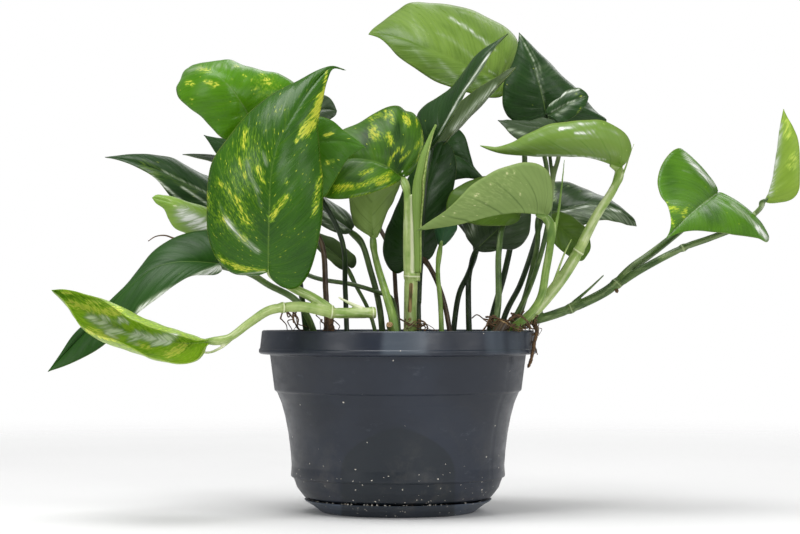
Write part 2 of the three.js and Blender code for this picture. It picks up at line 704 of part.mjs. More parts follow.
class Blade {
  constructor(leaf) {
    this.leaf = leaf;
    this.midrib = new THREE.CatmullRomCurve3(leaf.midrib.map(place), false, 'catmullrom', 0.5);
    this.length = this.midrib.getLength();
    this.ribs = [leaf.left, leaf.right].map((controls, half) => controls.map(([along, ...margin]) => ({
      along,
      rib: place(margin).sub(this.middle(along)).divideScalar(outlineWidth(along, leaf.lobe[half])),
    })));
  }

  middle(along) {
    if (along >= 0) return this.midrib.getPointAt(Math.min(along, 1));
    return this.midrib.getPointAt(0).addScaledVector(this.midrib.getTangentAt(0), along * this.length);
  }

  // The vector from the midrib to the widest margin, blended between the leaf's given ones.
  rib(half, along) {
    const ribs = this.ribs[half];
    if (along <= ribs[0].along) return ribs[0].rib.clone();
    for (let i = 1; i < ribs.length; i += 1) {
      if (along < ribs[i].along) {
        const share = (along - ribs[i - 1].along) / (ribs[i].along - ribs[i - 1].along);
        return ribs[i - 1].rib.clone().lerp(ribs[i].rib, share * share * (3 - 2 * share));
      }
    }
    return ribs[ribs.length - 1].rib.clone();
  }

  // The sheet's point on vein `t` (0 at the notch, 1 at the tip), `v` of the way from midrib to margin.
  point(half, t, v) {
    const [edgeAlong, edgeAcross] = halfOutline(SINUS_START + (1 - SINUS_START) * t, this.leaf.lobe[half]);
    const start = t ** VEIN_SPREAD;
    const along = start + (edgeAlong - start) * v ** 1.25;
    const rib = this.rib(half, along);
    const tangent = this.midrib.getTangentAt(Math.min(Math.max(along, 0), 1));
    const up = half === 0 ? tangent.cross(rib) : rib.clone().cross(tangent);
    const bow = this.leaf.bow[half] * rib.length() * edgeAcross * 4 * v * (1 - v);
    return this.middle(along).addScaledVector(rib, edgeAcross * v).addScaledVector(up.normalize(), bow);
  }
}

// A blade's sheet of points, given a thickness: both faces and the edge between them.
function bladeGeometry(leaf) {
  const blade = new Blade(leaf);
  const sheet = [];
  const midribIndex = [];
  for (let i = 0; i <= BLADE_ROWS; i += 1) {
    midribIndex.push(sheet.push(blade.middle((i / BLADE_ROWS) ** VEIN_SPREAD)) - 1);
  }
  const grid = [0, 1].map((half) => {
    const rows = [];
    for (let i = 0; i < BLADE_ROWS; i += 1) {
      const row = [midribIndex[i]];
      for (let j = 1; j <= BLADE_COLUMNS; j += 1) {
        row.push(sheet.push(blade.point(half, i / BLADE_ROWS, j / BLADE_COLUMNS)) - 1);
      }
      rows.push(row);
    }
    rows.push(new Array(BLADE_COLUMNS + 1).fill(midribIndex[BLADE_ROWS])); // every vein ends at the tip
    return rows;
  });

  const faces = [];
  grid.forEach((rows, half) => {
    const add = (a, b, c) => {
      if (a !== b && b !== c && c !== a) faces.push(half === 0 ? [a, b, c] : [a, c, b]);
    };
    for (let i = 0; i < BLADE_ROWS; i += 1) {
      for (let j = 0; j < BLADE_COLUMNS; j += 1) {
        add(rows[i][j], rows[i + 1][j], rows[i + 1][j + 1]);
        add(rows[i][j], rows[i + 1][j + 1], rows[i][j + 1]);
      }
    }
  });

  const edgeOf = (rows) => [...rows[0].slice(1), ...rows.slice(1, -1).map((row) => row[BLADE_COLUMNS])];
  const tip = midribIndex[BLADE_ROWS];
  const border = [midribIndex[0], ...edgeOf(grid[0]), tip, ...edgeOf(grid[1]).reverse()];

  const flat = closedGeometry(sheet, faces);
  const normal = new THREE.Vector3();
  const shifted = (distance) => sheet.map((point, i) => {
    normal.fromBufferAttribute(flat.attributes.normal, i);
    return point.clone().addScaledVector(normal, distance);
  });
  const points = [...shifted(BLADE_THICKNESS / 2), ...shifted(-BLADE_THICKNESS / 2)];
  const under = sheet.length;
  const triangles = [...faces, ...faces.map(([a, b, c]) => [a + under, c + under, b + under])];
  border.forEach((a, i) => {
    const b = border[(i + 1) % border.length];
    triangles.push([a, b, b + under], [a, b + under, a + under]);
  });
  return closedGeometry(points, triangles);
}

// ---- stalks -------------------------------------------------------------------------------------

// A closed round bar along a smooth path, with a straight taper. `extra` thickens it all over.
function barGeometry({ path, radius }, extra = 0) {
  const curve = new THREE.CatmullRomCurve3(path.map(place), false, 'catmullrom', 0.5);
  const steps = path.length + 1;
  const frames = curve.computeFrenetFrames(steps, false);
  const points = [];
  const triangles = [];
  for (let i = 0; i <= steps; i += 1) {
    const centre = curve.getPointAt(i / steps);
    if (i === 0) centre.addScaledVector(frames.tangents[0], -extra);
    if (i === steps) centre.addScaledVector(frames.tangents[steps], extra);
    const r = THREE.MathUtils.lerp(radius[0], radius[1], i / steps) + extra;
    for (let k = 0; k < STALK_SIDES; k += 1) {
      const angle = (k / STALK_SIDES) * 2 * Math.PI;
      points.push(centre.clone()
        .addScaledVector(frames.normals[i], r * Math.cos(angle))
        .addScaledVector(frames.binormals[i], r * Math.sin(angle)));
    }
  }
  for (let i = 0; i < steps; i += 1) {
    for (let k = 0; k < STALK_SIDES; k += 1) {
      const a = i * STALK_SIDES + k;
      const b = i * STALK_SIDES + ((k + 1) % STALK_SIDES);
      triangles.push([a, b, b + STALK_SIDES], [a, b + STALK_SIDES, a + STALK_SIDES]);
    }
  }
  const last = steps * STALK_SIDES;
  for (let k = 1; k < STALK_SIDES - 1; k += 1) {
    triangles.push([0, k + 1, k], [last, last + k, last + k + 1]);
  }
  return closedGeometry(points, triangles);
}

function joinedBars(branches, extra = 0) {
  return branches.map((branch) => solidFrom(barGeometry(branch, extra))).reduce((all, bar) => all.add(bar));
}

// A young leaf still rolled up: a thin spindle that stands beside the stem it grew from.
const ROLLED_LEAF = [
  { radius: [2.4, 3.6], path: [[11.4, 168.5, -41.8], [12.3, 176, -43.5], [13.8, 184, -45]] },
  { radius: [3.5, 0.5], path: [[13.8, 184, -45], [16.4, 194, -45], [20.5, 208.5, -43]] },
];

// ---- the assembly -------------------------------------------------------------------------------

const plant = new THREE.Group();

function addPiece(name, finish, geometry) {
  const mesh = new THREE.Mesh(geometry, new THREE.MeshStandardMaterial(FINISHES[finish]));
  mesh.name = name;
  plant.add(mesh);
}

const stalkCutters = Object.fromEntries(
  Object.entries(STALKS).map(([name, stalk]) => [name, joinedBars(stalk.branches, CLEARANCE)]),
);

addPiece('pot', 'pot_plastic', geometryFrom(potSolid()));
addPiece('saucer', 'pot_plastic', turned(SAUCER));
addPiece('potting_soil', 'soil', geometryFrom(soilSolid(Object.values(stalkCutters))));

for (const [name, stalk] of Object.entries(STALKS)) {
  addPiece(name, stalk.finish, geometryFrom(joinedBars(stalk.branches)));
}
for (const [name, leaf] of Object.entries(LEAVES)) {
  const blade = solidFrom(bladeGeometry(leaf));
  addPiece(name, leaf.finish, geometryFrom(blade.subtract(stalkCutters[leaf.stalk])));
}
const rolledLeaf = joinedBars(ROLLED_LEAF);
addPiece('leaf_rolled', 'leaf_pale', geometryFrom(rolledLeaf.subtract(stalkCutters.main_stem)));

export default plant;
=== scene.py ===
"""A pothos in a 15 cm plastic pot on its clip-on saucer, in the axes and at the size of its frame.

Tables of places are in millimetres, and everything built from them is in metres.
"""

import math
import random

import bmesh
import bpy
import numpy as np
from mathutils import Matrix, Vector, noise
from mathutils.kdtree import KDTree


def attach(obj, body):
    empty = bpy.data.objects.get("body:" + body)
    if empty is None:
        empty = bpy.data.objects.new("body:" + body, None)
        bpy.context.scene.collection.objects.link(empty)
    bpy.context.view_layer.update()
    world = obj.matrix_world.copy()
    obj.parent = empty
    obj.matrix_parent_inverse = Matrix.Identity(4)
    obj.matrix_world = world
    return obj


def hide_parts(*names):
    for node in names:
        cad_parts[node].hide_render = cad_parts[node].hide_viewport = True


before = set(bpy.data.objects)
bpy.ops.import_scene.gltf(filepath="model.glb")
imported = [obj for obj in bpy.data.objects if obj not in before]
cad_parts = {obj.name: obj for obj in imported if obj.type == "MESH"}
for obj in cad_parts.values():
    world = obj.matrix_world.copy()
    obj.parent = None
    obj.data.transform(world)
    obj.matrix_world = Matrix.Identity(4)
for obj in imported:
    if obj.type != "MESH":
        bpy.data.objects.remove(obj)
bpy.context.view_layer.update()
MM = 0.001
CM = 0.01

# ---- the camera's eye and the places on the plant ----------------------------------------------------
# Places are (across, up, depth): across and up as they look from the eye, measured in the upright plane
# through the pot's axis, and depth as the distance behind that plane.

EYE = np.array([1.0, -1200.0, 106.6])
CAMERA_PITCH = 1.19  # degrees above level
LENS = 100.0  # mm, on a sensor of this width
SENSOR_WIDTH = 36.0


def places(points):
    """Places on the plant as an array of points in metres."""
    points = np.asarray(points, float)
    scale = (points[:, 2] - EYE[1]) / -EYE[1]
    x = EYE[0] + (points[:, 0] - EYE[0]) * scale
    z = EYE[2] + (points[:, 1] - EYE[2]) * scale
    return np.stack([x, points[:, 2], z], 1) * MM


def seen_at(points):
    """Across and up, in millimetres, of points in metres."""
    mm = points / MM
    scale = -EYE[1] / (mm[:, 1] - EYE[1])
    return np.stack([EYE[0] + (mm[:, 0] - EYE[0]) * scale, EYE[2] + (mm[:, 2] - EYE[2]) * scale], 1)


# ---- leaves --------------------------------------------------------------------------------------------
# midrib: from the stalk joint to the tip.
# left, right: the margin from the notch at the joint round the lobe to the tip, as seen with the tip up
#   and the upper face towards the reader.
# bow: how far each half arches above its chord, as a share of its width, where it isn't BOW; below zero
#   it is hollow.
# wave: how far the margin ripples, in millimetres, where it isn't WAVE.
# look: the name of its colours in LOOKS.
# The strokes: pale ones of yellow variegation; shade ones of painted shade and shadow, which deepen the
#   green; and sheen ones of a painted grey sheen and white highlights of gloss, with some real pale lines
#   and strips. Each is its radius in millimetres, its strength and the places (across, up) that it runs
#   through.

BOW = (0.08, 0.08)
WAVE = 0.4
STROKE_KINDS = ("pale", "shade", "sheen_and_pale_lines")

LEAVES = {
    "leaf_front": dict(
        midrib=[(-70, 129, -70), (-70, 142, -75), (-69.5, 162, -80), (-68.5, 182, -81), (-64, 200, -77),
                (-57, 213, -71), (-50, 224, -64), (-42, 235, -54), (-36.5, 239.5, -50), (-28, 238, -47)],
        left=[(-73, 127.5, -69), (-80, 127, -67), (-89, 128, -66), (-97, 135, -65), (-102.3, 149, -65),
              (-103.5, 167, -66), (-101.5, 186, -66), (-93, 200, -65), (-82, 213, -63), (-67, 225.5, -60),
              (-52, 234, -56), (-41, 239, -52), (-35, 240.4, -50)],
        right=[(-68, 125, -69), (-62, 120.5, -67), (-55, 120.3, -66), (-48.5, 127, -66), (-44, 140, -67),
               (-41.5, 158, -68), (-40.6, 176, -68), (-42.3, 195, -66), (-43, 208, -63), (-41, 222, -58),
               (-38.2, 233, -53), (-35, 238.7, -50)],
        bow=(0.10, 0.10), wave=0.5, look="front",
        pale=[(2.3, 2.0, (-41, 224), (-43.5, 216)), (2.8, 2.1, (-44.6, 213), (-50.5, 205)),
              (1.4, 1.3, (-52, 203), (-54.5, 200)), (0.8, 1.4, (-38.7, 237), (-40.5, 224)),
              (1.7, 0.85, (-42.4, 179), (-44, 170), (-45.5, 160)),
              (1.9, 0.95, (-60, 169), (-64, 165), (-68.4, 158)), (0.6, 1.2, (-41.5, 192), (-40.6, 181)),
              (1.1, 0.9, (-61, 179), (-60, 177)), (1.7, 0.9, (-95, 158), (-92, 156)),
              (1.6, 0.9, (-85, 148), (-82, 146)), (1.2, 0.85, (-87, 191), (-82.5, 180.5)),
              (1.1, 0.8, (-76.6, 187), (-73, 178)), (1.8, 0.75, (-87.5, 169), (-85.5, 164)),
              (1.7, 0.7, (-82.5, 205), (-83.5, 195)), (2.0, 0.65, (-84, 160), (-80.5, 155)),
              (1.8, 0.65, (-96, 177), (-91.5, 173)), (1.0, 0.9, (-103, 172), (-102.5, 163)),
              (1.5, 0.95, (-97, 136.5), (-90, 133), (-82, 130)), (1.2, 0.85, (-88, 131), (-72, 129.5)),
              (20, 0.3, (-90, 160), (-80, 195)), (8, 0.15, (-60, 215))],
        shade=[(14, 0.5, (-56, 140)), (6, 0.6, (-48, 190)), (5, 0.5, (-72, 150), (-72, 185)),
               (12, 0.5, (-70, 205), (-52, 226))],
        sheen_and_pale_lines=[(1.9, 0.95, (-93, 157), (-86, 148.5), (-75.5, 140)),
               (1.7, 0.7, (-82, 188.6), (-80, 182), (-76.2, 173)), (1.6, 0.65, (-73, 193.5), (-71, 187)),
               (1.8, 0.4, (-76, 172), (-73.7, 164)), (1.6, 0.4, (-96, 164), (-90, 154)),
               (0.7, 0.5, (-64, 222), (-70, 205)), (0.7, 0.5, (-58, 228), (-64, 212)),
               (0.7, 0.45, (-69, 214), (-75, 198)), (0.7, 0.9, (-86, 127.5), (-72, 129))]),
    "leaf_low_left": dict(
        midrib=[(-103, 91, -74), (-116, 90.5, -69), (-130, 92.5, -65), (-145, 97, -63), (-160, 103, -64),
                (-174, 111, -69), (-187, 119, -76)],
        left=[(-104.5, 88, -77), (-107, 83, -81), (-112, 80, -85), (-118, 79.5, -88), (-126, 81, -89),
              (-138, 85.5, -89), (-150, 90.5, -88), (-162, 95, -86), (-171, 100, -84), (-175, 106, -82),
              (-179, 112, -79)],
        right=[(-104, 92, -78), (-109, 92, -83), (-120, 94.5, -88), (-131, 98, -90), (-141, 102, -90),
               (-151, 108, -88), (-161, 113.5, -86), (-171, 117.5, -83), (-180, 119.5, -79)],
        bow=(-0.22, -0.16), wave=0.5, look="lime",
        pale=[(1.8, 1.6, (-177, 112), (-171.5, 110.3), (-165, 108.7)),
              (2.1, 1.6, (-160, 107.5), (-151, 107.5)), (0.9, 1.2, (-168, 112.6), (-162, 112)),
              (0.8, 1.2, (-181.3, 117.9), (-176.7, 117.3)),
              (1.5, 1.3, (-167, 97.6), (-159, 94.3), (-152.5, 93)),
              (1.7, 1.6, (-124, 84.5), (-118, 87), (-115.8, 89)), (0.9, 1.3, (-141, 90), (-134, 88)),
              (25, 0.4, (-160, 102), (-120, 88))],
        shade=[(1.8, 1.1, (-186, 118.3), (-180, 115.9), (-171.5, 114.6), (-160.3, 111.3)),
               (0.7, 1.5, (-154, 102.5), (-148, 104.5)), (0.6, 1.6, (-143.5, 94.3), (-135.5, 98)),
               (0.7, 1.3, (-133, 90.5), (-127, 91.5)), (2.0, 0.7, (-118, 92), (-112, 90)),
               (1.6, 0.6, (-152, 99), (-147, 98))],
        sheen_and_pale_lines=[(2.7, 1.7, (-167, 105), (-163.6, 102.4), (-157.7, 99.6), (-152, 97)),
               (1.5, 1.1, (-160, 105), (-150, 101.5)), (1.4, 1.4, (-150, 104), (-146, 101.5)),
               (1.8, 1.2, (-149, 96.5), (-142, 93)), (1.0, 1.0, (-158, 96), (-151, 92.6)),
               (2.7, 1.7, (-141, 95.5), (-134, 93.5), (-127.6, 93), (-121, 94)),
               (1.4, 1.3, (-132.8, 89.4), (-123.7, 90.6)), (1.1, 1.0, (-146, 91.4), (-140, 89.4))]),
    "leaf_long_left": dict(
        midrib=[(-97, 133.5, -34), (-111, 134.5, -39), (-122, 134, -42), (-132, 131, -44.5),
                (-141, 124.5, -47), (-151, 115, -49), (-161, 104, -50), (-171, 94, -50.5),
                (-180, 84.5, -51), (-189, 75, -52)],
        left=[(-95, 130, -36), (-98, 127.5, -39), (-104, 127, -43), (-112, 126.5, -47), (-121, 121.5, -51),
              (-130, 114.5, -54), (-140, 107, -56), (-150, 97, -57), (-160, 88.5, -57), (-170, 82.5, -56),
              (-180, 78, -54)],
        right=[(-92, 140, -29), (-94, 147, -26), (-100, 151, -24), (-108, 151.4, -24), (-116, 149.3, -25),
               (-124, 145.5, -28), (-132, 139.5, -32), (-140, 131, -37), (-148, 120.5, -42),
               (-157, 111, -45), (-167, 102.5, -47), (-176, 93.5, -49), (-183, 83.5, -51)],
        bow=(0.08, 0.10), look="deep",
        shade=[(9, 0.5, (-160, 100), (-175, 90)), (8, 0.4, (-115, 143), (-135, 130))],
        sheen_and_pale_lines=[(2.2, 1.5, (-95, 131.5), (-106, 127.5), (-117, 121.5), (-127.5, 116.3), (-139, 108.6)),
               (1.0, 1.0, (-139, 108.6), (-150, 99)), (5, 0.1, (-112, 144), (-130, 135))]),
    "leaf_upper_left": dict(
        midrib=[(-84, 160, 24), (-94, 166, 22), (-104, 171, 20), (-115, 177, 19), (-125, 182, 18),
                (-137, 186.3, 17.5), (-149, 189.8, 16.5), (-158.5, 191, 16)],
        left=[(-82.5, 155, 20), (-85, 149.5, 16), (-92, 146.5, 13), (-102, 150, 12), (-113, 158.5, 12),
              (-123, 169.5, 12), (-131, 179, 12.5), (-140, 185, 13.5), (-150, 189, 15)],
        right=[(-82, 165, 29), (-83, 172, 36), (-90, 177, 39), (-100, 180, 38), (-110, 184.3, 35),
               (-120, 189, 31), (-130, 192, 27), (-140, 192.9, 22.5), (-150, 192, 18.5)],
        bow=(0.10, 0.10), wave=0.5, look="night",
        pale=[(3.2, 0.5, (-138, 187), (-128, 181)), (3.0, 0.3, (-122, 180), (-110, 172))],
        shade=[(9, 0.7, (-95, 155), (-112, 168))],
        sheen_and_pale_lines=[(0.9, 1.3, (-90, 151), (-112, 163), (-133, 181)), (0.8, 1.1, (-88, 148.5), (-106, 155)),
               (0.9, 1.0, (-96, 161), (-117, 175)), (0.7, 1.0, (-86, 158), (-100, 165)),
               (0.8, 0.8, (-88, 163), (-106, 173), (-128, 184))]),
    "leaf_pale_left": dict(
        midrib=[(-86, 152, -18), (-95, 156, -20.5), (-105, 160.3, -22), (-120, 165.5, -23),
                (-133, 169, -22)],
        left=[(-85, 148.5, -16), (-88, 144.5, -14), (-95, 143, -14), (-104, 145, -16), (-113, 149, -18),
              (-120, 152.5, -20), (-124, 157.5, -21), (-126.5, 162.8, -22), (-130.8, 166, -22.3)],
        right=[(-86, 156, -15), (-90, 160, -11), (-97, 162, -10), (-105, 164, -11), (-115, 167, -14),
               (-124, 169.6, -18), (-130.5, 170.6, -21)],
        bow=(0.12, 0.12), look="cream_green",
        pale=[(1.1, 0.9, (-124, 168), (-116, 160))],
        sheen_and_pale_lines=[(5.4, 1.5, (-116, 160), (-104, 153), (-88, 147)), (1.8, 0.8, (-96, 160), (-89, 157))]),
    "leaf_top_left": dict(
        midrib=[(-80, 211, -30), (-81.5, 215, -32), (-85.5, 221.5, -36), (-91, 229, -38),
                (-97.5, 235.3, -36.5), (-104, 239, -31), (-110, 240.3, -22), (-115, 238, -12)],
        left=[(-82, 208, -31), (-83, 203, -32), (-88, 199.5, -33), (-94, 201, -34), (-101, 207, -34),
              (-110, 215.5, -32), (-116, 220.3, -29.5), (-119, 225, -25), (-119.3, 230, -20),
              (-117.5, 235, -15.5)],
        right=[(-76, 211, -28), (-70, 211.5, -25), (-62, 216, -21), (-56, 223, -18), (-55.5, 229, -17),
               (-58.5, 233.5, -17), (-64, 236.5, -17), (-72, 238, -17), (-81, 240, -17), (-91, 242.6, -16),
               (-101, 241.9, -13.5), (-110, 240.6, -11)],
        bow=(0.10, 0.08), wave=0.9, look="bright",
        pale=[(1.4, 1.4, (-114, 231.2), (-111.4, 230.6)), (1.1, 1.4, (-104, 232), (-97.5, 230.5)),
              (0.8, 1.2, (-101, 229.4), (-99, 229)), (0.7, 1.3, (-111.7, 222.4)), (0.7, 1.4, (-77, 227.9)),
              (0.7, 1.2, (-83.5, 235.5), (-82.6, 234.6)), (0.8, 1.1, (-88, 240.4), (-86.4, 240)),
              (1.3, 1.1, (-72, 233), (-70, 231.6)), (0.8, 1.1, (-74, 236.2)), (0.6, 1.2, (-90, 232.9)),
              (0.6, 1.1, (-67, 226)), (0.6, 1.1, (-79, 233)), (0.6, 1.0, (-86, 212)),
              (0.6, 1.0, (-94, 217)), (9, 0.4, (-72, 230)), (1.8, 0.8, (-108, 238.6), (-102, 238))],
        sheen_and_pale_lines=[(2.6, 0.6, (-113, 238), (-98, 240.5), (-84, 239.5)),
               (0.6, 0.42, (-80.6, 213), (-85.5, 221.5), (-91, 229), (-97.5, 235.3)),
               (3.5, 0.2, (-110, 226), (-98, 222))]),
    "leaf_back_left": dict(
        midrib=[(-62, 186, 50), (-74, 190, 49), (-85, 194, 48), (-95, 198.5, 46), (-105, 203, 44)],
        left=[(-62, 182, 45), (-66, 177.5, 39), (-74, 177, 38), (-84, 181, 39), (-93, 187, 40.5),
              (-98.5, 193, 42), (-102, 198.5, 43)],
        right=[(-59, 190, 54), (-59.5, 198, 58), (-66, 204, 59), (-76, 204.7, 57), (-86, 203, 53),
               (-95, 201, 49), (-101, 201.8, 46)],
        look="night"),
    "leaf_long_back": dict(
        midrib=[(-25, 151.5, -6), (-33, 157, -8), (-42, 163, -10), (-54, 171, -12), (-66, 178, -14),
                (-80, 185, -16), (-95, 190, -18), (-106, 191.5, -19), (-116.5, 192.5, -20)],
        left=[(-27, 149.5, -9), (-32, 149.7, -14), (-39, 152.5, -19), (-49, 159.5, -24), (-62, 168.5, -29),
              (-78, 178, -32), (-90, 184.5, -30.5), (-101, 188.4, -26), (-109, 190.4, -22.5)],
        right=[(-23.5, 155, -2), (-27, 161, 2), (-35, 166.5, 4), (-48, 173.5, 5), (-62, 180.5, 5),
               (-78, 187, 3), (-92, 190.5, -4), (-103, 191.9, -11), (-110, 192.7, -16)],
        wave=0.3, look="slate",
        sheen_and_pale_lines=[(1, 0.9, (-29, 152), (-40, 160)), (1.1, 0.8, (-35, 152), (-50, 164)),
               (1, 0.7, (-28, 157), (-36, 163))]),
    "leaf_mid_left": dict(
        midrib=[(-66, 190, -40), (-54, 196, -44), (-42, 199.5, -46), (-30, 199.5, -46.5),
                (-17.5, 196.5, -46)],
        left=[(-68, 194, -39.5), (-69, 201, -39.5), (-65, 208.5, -40), (-57, 212.5, -41),
              (-49, 213.8, -42), (-42, 212.7, -43), (-36, 211, -44), (-30, 206.3, -44.5), (-25, 202, -45),
              (-21, 199, -45.5)],
        right=[(-65, 185.5, -40), (-62, 177, -41), (-56, 169.5, -43), (-48, 167, -44.5),
               (-39.5, 169.5, -45.5), (-36.5, 174, -46), (-33, 180, -46), (-30, 186, -46),
               (-26.5, 190.7, -46), (-21.5, 194.3, -46)],
        wave=0.5, look="mid",
        pale=[(1.4, 1.5, (-39, 203), (-36, 203.6)), (1.3, 1.4, (-38.5, 188), (-35.5, 188.5)),
              (1.1, 1.3, (-31, 182))]),
    "leaf_small_grey": dict(
        midrib=[(-56, 206, -10), (-50, 212, -10), (-44, 216, -10), (-38, 217, -10), (-33, 216, -10)],
        left=[(-57, 210, -9), (-56, 217, -8), (-50, 223, -8), (-42, 224.8, -8), (-37.2, 223.2, -8.5),
              (-34.6, 219.8, -9.3)],
        right=[(-53, 205, -11), (-46, 206, -12), (-40.5, 209.5, -12), (-36, 211.8, -11.5),
               (-33.7, 213.7, -11)],
        wave=0.3, look="slate",
        sheen_and_pale_lines=[(5, 0.6, (-44, 218))]),
    "leaf_centre": dict(
        midrib=[(1.5, 180.5, -33), (-5, 185.2, -36.5), (-15, 189, -38), (-25, 190, -38), (-36, 187, -37),
                (-46, 181, -38)],
        left=[(0.5, 178, -36), (-3.5, 175.5, -41), (-11, 172.7, -45), (-20, 169.8, -47),
              (-30, 168.3, -46.5), (-39, 169, -43), (-44, 174.5, -40)],
        right=[(4, 180, -33.5), (7.5, 182.7, -32), (11.5, 189, -30), (13.7, 196.5, -28),
               (13.8, 203.5, -25), (11.6, 211, -23), (8, 215.3, -22), (4, 216, -22), (0.5, 218, -21.5),
               (-5, 217.5, -21), (-12, 215, -20.5), (-20, 210.5, -21), (-30, 205.7, -23), (-40, 197, -29),
               (-45, 188, -34)],
        bow=(0.12, 0.12), wave=0.6, look="centre",
        pale=[(2.4, 1.15, (-13.5, 206), (-13, 202.5)), (3.0, 0.3, (-11, 203), (-5, 201)),
              (1.5, 1.0, (-5, 203), (-3.6, 198.5)), (1.7, 1.5, (3.8, 213), (5.6, 209.5)),
              (1.4, 0.85, (-3.9, 215.3), (-2.7, 210)), (1.1, 0.9, (-6.6, 215.8), (-7, 212)),
              (1.5, 0.75, (-10, 214), (-15, 211.5)), (0.8, 1.0, (0.8, 196), (-3.3, 191.3), (-5, 186.6)),
              (0.8, 0.9, (3.3, 196.4), (1.5, 193.5)), (0.9, 0.9, (6.3, 193.8), (1.5, 189)),
              (0.7, 0.9, (9.6, 211.8), (10.6, 208)), (1.1, 0.8, (11.4, 199.5), (9.6, 196)),
              (0.7, 0.7, (13, 206), (13.2, 198), (10, 188)),
              (1.6, 0.75, (-4, 182.5), (-9, 180), (-19, 176), (-33, 173)),
              (1.2, 1.2, (-5, 178.8), (-11, 176.4)), (1.4, 0.85, (-14, 184), (-20, 182)),
              (1.2, 0.85, (-34, 175), (-26, 176)), (0.9, 0.75, (-1, 177), (-12, 171.5), (-26, 169.3))],
        shade=[(3, 0.9, (-17, 203), (-18, 197)), (3.5, 0.9, (-4, 194), (0, 187)),
               (2.2, 0.8, (-27, 179), (-20, 178.5)), (2, 0.8, (0, 208), (-1, 202)), (9, 0.35, (0, 205))],
        sheen_and_pale_lines=[(3.0, 0.4, (-30, 205), (-24, 204.5)), (2.2, 0.28, (-24, 193), (-15, 193.5), (-7, 190.5)),
               (0.6, 0.6, (-26, 188.5), (-14, 188), (-6, 185)),
               (1.1, 0.5, (13, 206), (13, 197), (10.4, 188), (6, 183)),
               (0.7, 0.5, (-33, 170.5), (-20, 171), (-6, 175.5)), (0.35, 2.2, (2.2, 183), (2.4, 183.3)),
               (0.3, 2.0, (3, 181), (3.1, 181.2))]),
    "leaf_cupped": dict(
        midrib=[(-13.5, 148, -18), (-14, 155, -17.5), (-13.7, 165, -15.5), (-11, 180, -8), (-5, 195, 2)],
        left=[(-11.6, 147.3, -17), (-10.2, 150, -15.8), (-8.2, 155, -14), (-4.8, 162.5, -11.5),
              (-1.6, 170, -9), (1.8, 178, -4), (3.5, 186, 2), (0.5, 192, 4)],
        right=[(-15, 148.2, -17), (-19, 150.7, -15.5), (-23.5, 154.8, -13.5), (-25.6, 161, -11),
               (-26.5, 170, -6.5), (-25.5, 181, -1), (-19, 190, 3), (-11, 194.5, 4)],
        bow=(-0.22, -0.22), look="young",
        shade=[(4, 0.5, (-20, 165), (-19, 178))],
        sheen_and_pale_lines=[(5, 0.35, (-6, 158), (-3, 172))]),
    "leaf_spear_back": dict(
        midrib=[(17, 196, -8), (21, 200.5, -10), (25, 206.5, -12), (29.5, 214, -14.5), (34, 223.5, -16.5),
                (39, 233, -17.5), (45, 241.8, -18), (52, 250.3, -16.5), (59.5, 258, -14)],
        left=[(15, 198, -5), (12, 203, -1), (10, 209, 1), (10.5, 214.5, 2), (15, 219, 0.5),
              (20, 222.3, -1.5), (27, 227.3, -4.5), (32, 232.7, -7), (37, 240, -9), (42.5, 246.2, -11),
              (50, 251.8, -13)],
        right=[(19.5, 197.5, -12), (23, 202.5, -18), (28, 210.5, -24), (33, 219.5, -26.5),
               (37, 226.8, -27.5), (42.3, 233.8, -28), (47, 240.5, -26), (50.5, 247, -22.5),
               (54.5, 253, -18)],
        wave=0.3, look="night",
        sheen_and_pale_lines=[(2.8, 0.4, (31, 215), (40, 230), (49, 244)), (0.6, 1.1, (22, 203), (33, 223), (50, 248))]),
    "leaf_spear_front": dict(
        midrib=[(20, 195, 8), (26, 201, 5), (34, 209, 3), (43, 218, 2), (54, 229.7, 2), (64, 240, 4)],
        left=[(19, 197, 10), (20.5, 203, 12.5), (26, 211.5, 13), (33, 220.3, 12), (40, 226.2, 10),
              (47, 230.8, 8), (53.5, 234.5, 6), (59.5, 238.5, 5)],
        right=[(22, 195.5, 3), (25.5, 199, -3), (30, 204.7, -7), (38, 213.3, -8.5), (45, 220.9, -8.5),
               (51, 226.7, -5.5), (57, 232.3, -2), (61, 236.6, 1)],
        bow=(-0.08, -0.08), wave=0.3, look="olive_dark",
        sheen_and_pale_lines=[(2.6, 0.9, (30, 206), (42, 219), (52, 229))]),
    "leaf_top": dict(
        midrib=[(57, 232, 46), (53, 233.7, 44), (45, 237, 41.5), (37, 240.5, 40), (25, 246, 38),
                (15, 250.3, 38), (5, 254.6, 40), (-5, 257.4, 44.5), (-16, 257.5, 50)],
        left=[(57.5, 229.5, 43.5), (58.5, 226, 41), (55, 223.4, 38.5), (48, 223.3, 36), (42, 224.8, 35),
              (35, 226.7, 34), (27, 229.3, 33), (20, 232, 32.5), (10, 238.5, 33), (0, 245.5, 36),
              (-5, 251, 39), (-10, 255.3, 45)],
        right=[(59.5, 234.5, 50), (61.7, 239.5, 56), (64, 245.5, 63), (65.5, 251, 68), (64, 255.7, 71),
               (60, 260, 73), (54, 264.3, 74), (45, 268.5, 74), (38, 271, 74), (30, 272.6, 74),
               (20, 274.4, 73), (11, 275.3, 71), (5, 274.2, 69), (0, 270.8, 66), (-8, 264.7, 59.5),
               (-13, 260.8, 54.5)],
        bow=(0.10, 0.08), wave=0.5, look="olive_bright",
        shade=[(6.0, 0.6, (50, 229), (28, 236), (8, 247), (-6, 255))],
        sheen_and_pale_lines=[(1.3, 1.0, (28, 266.6), (37, 261.3), (49.6, 251.4)),
               (1.6, 0.55, (21, 258.6), (30, 254.1), (42.4, 243.4)),
               (0.8, 0.5, (6.6, 270.2), (9.3, 263), (15.6, 258.6)),
               (1.2, 0.6, (33.5, 270), (46, 265.5), (56.8, 259)), (0.5, 0.8, (52.3, 249.6), (58.5, 242.5)),
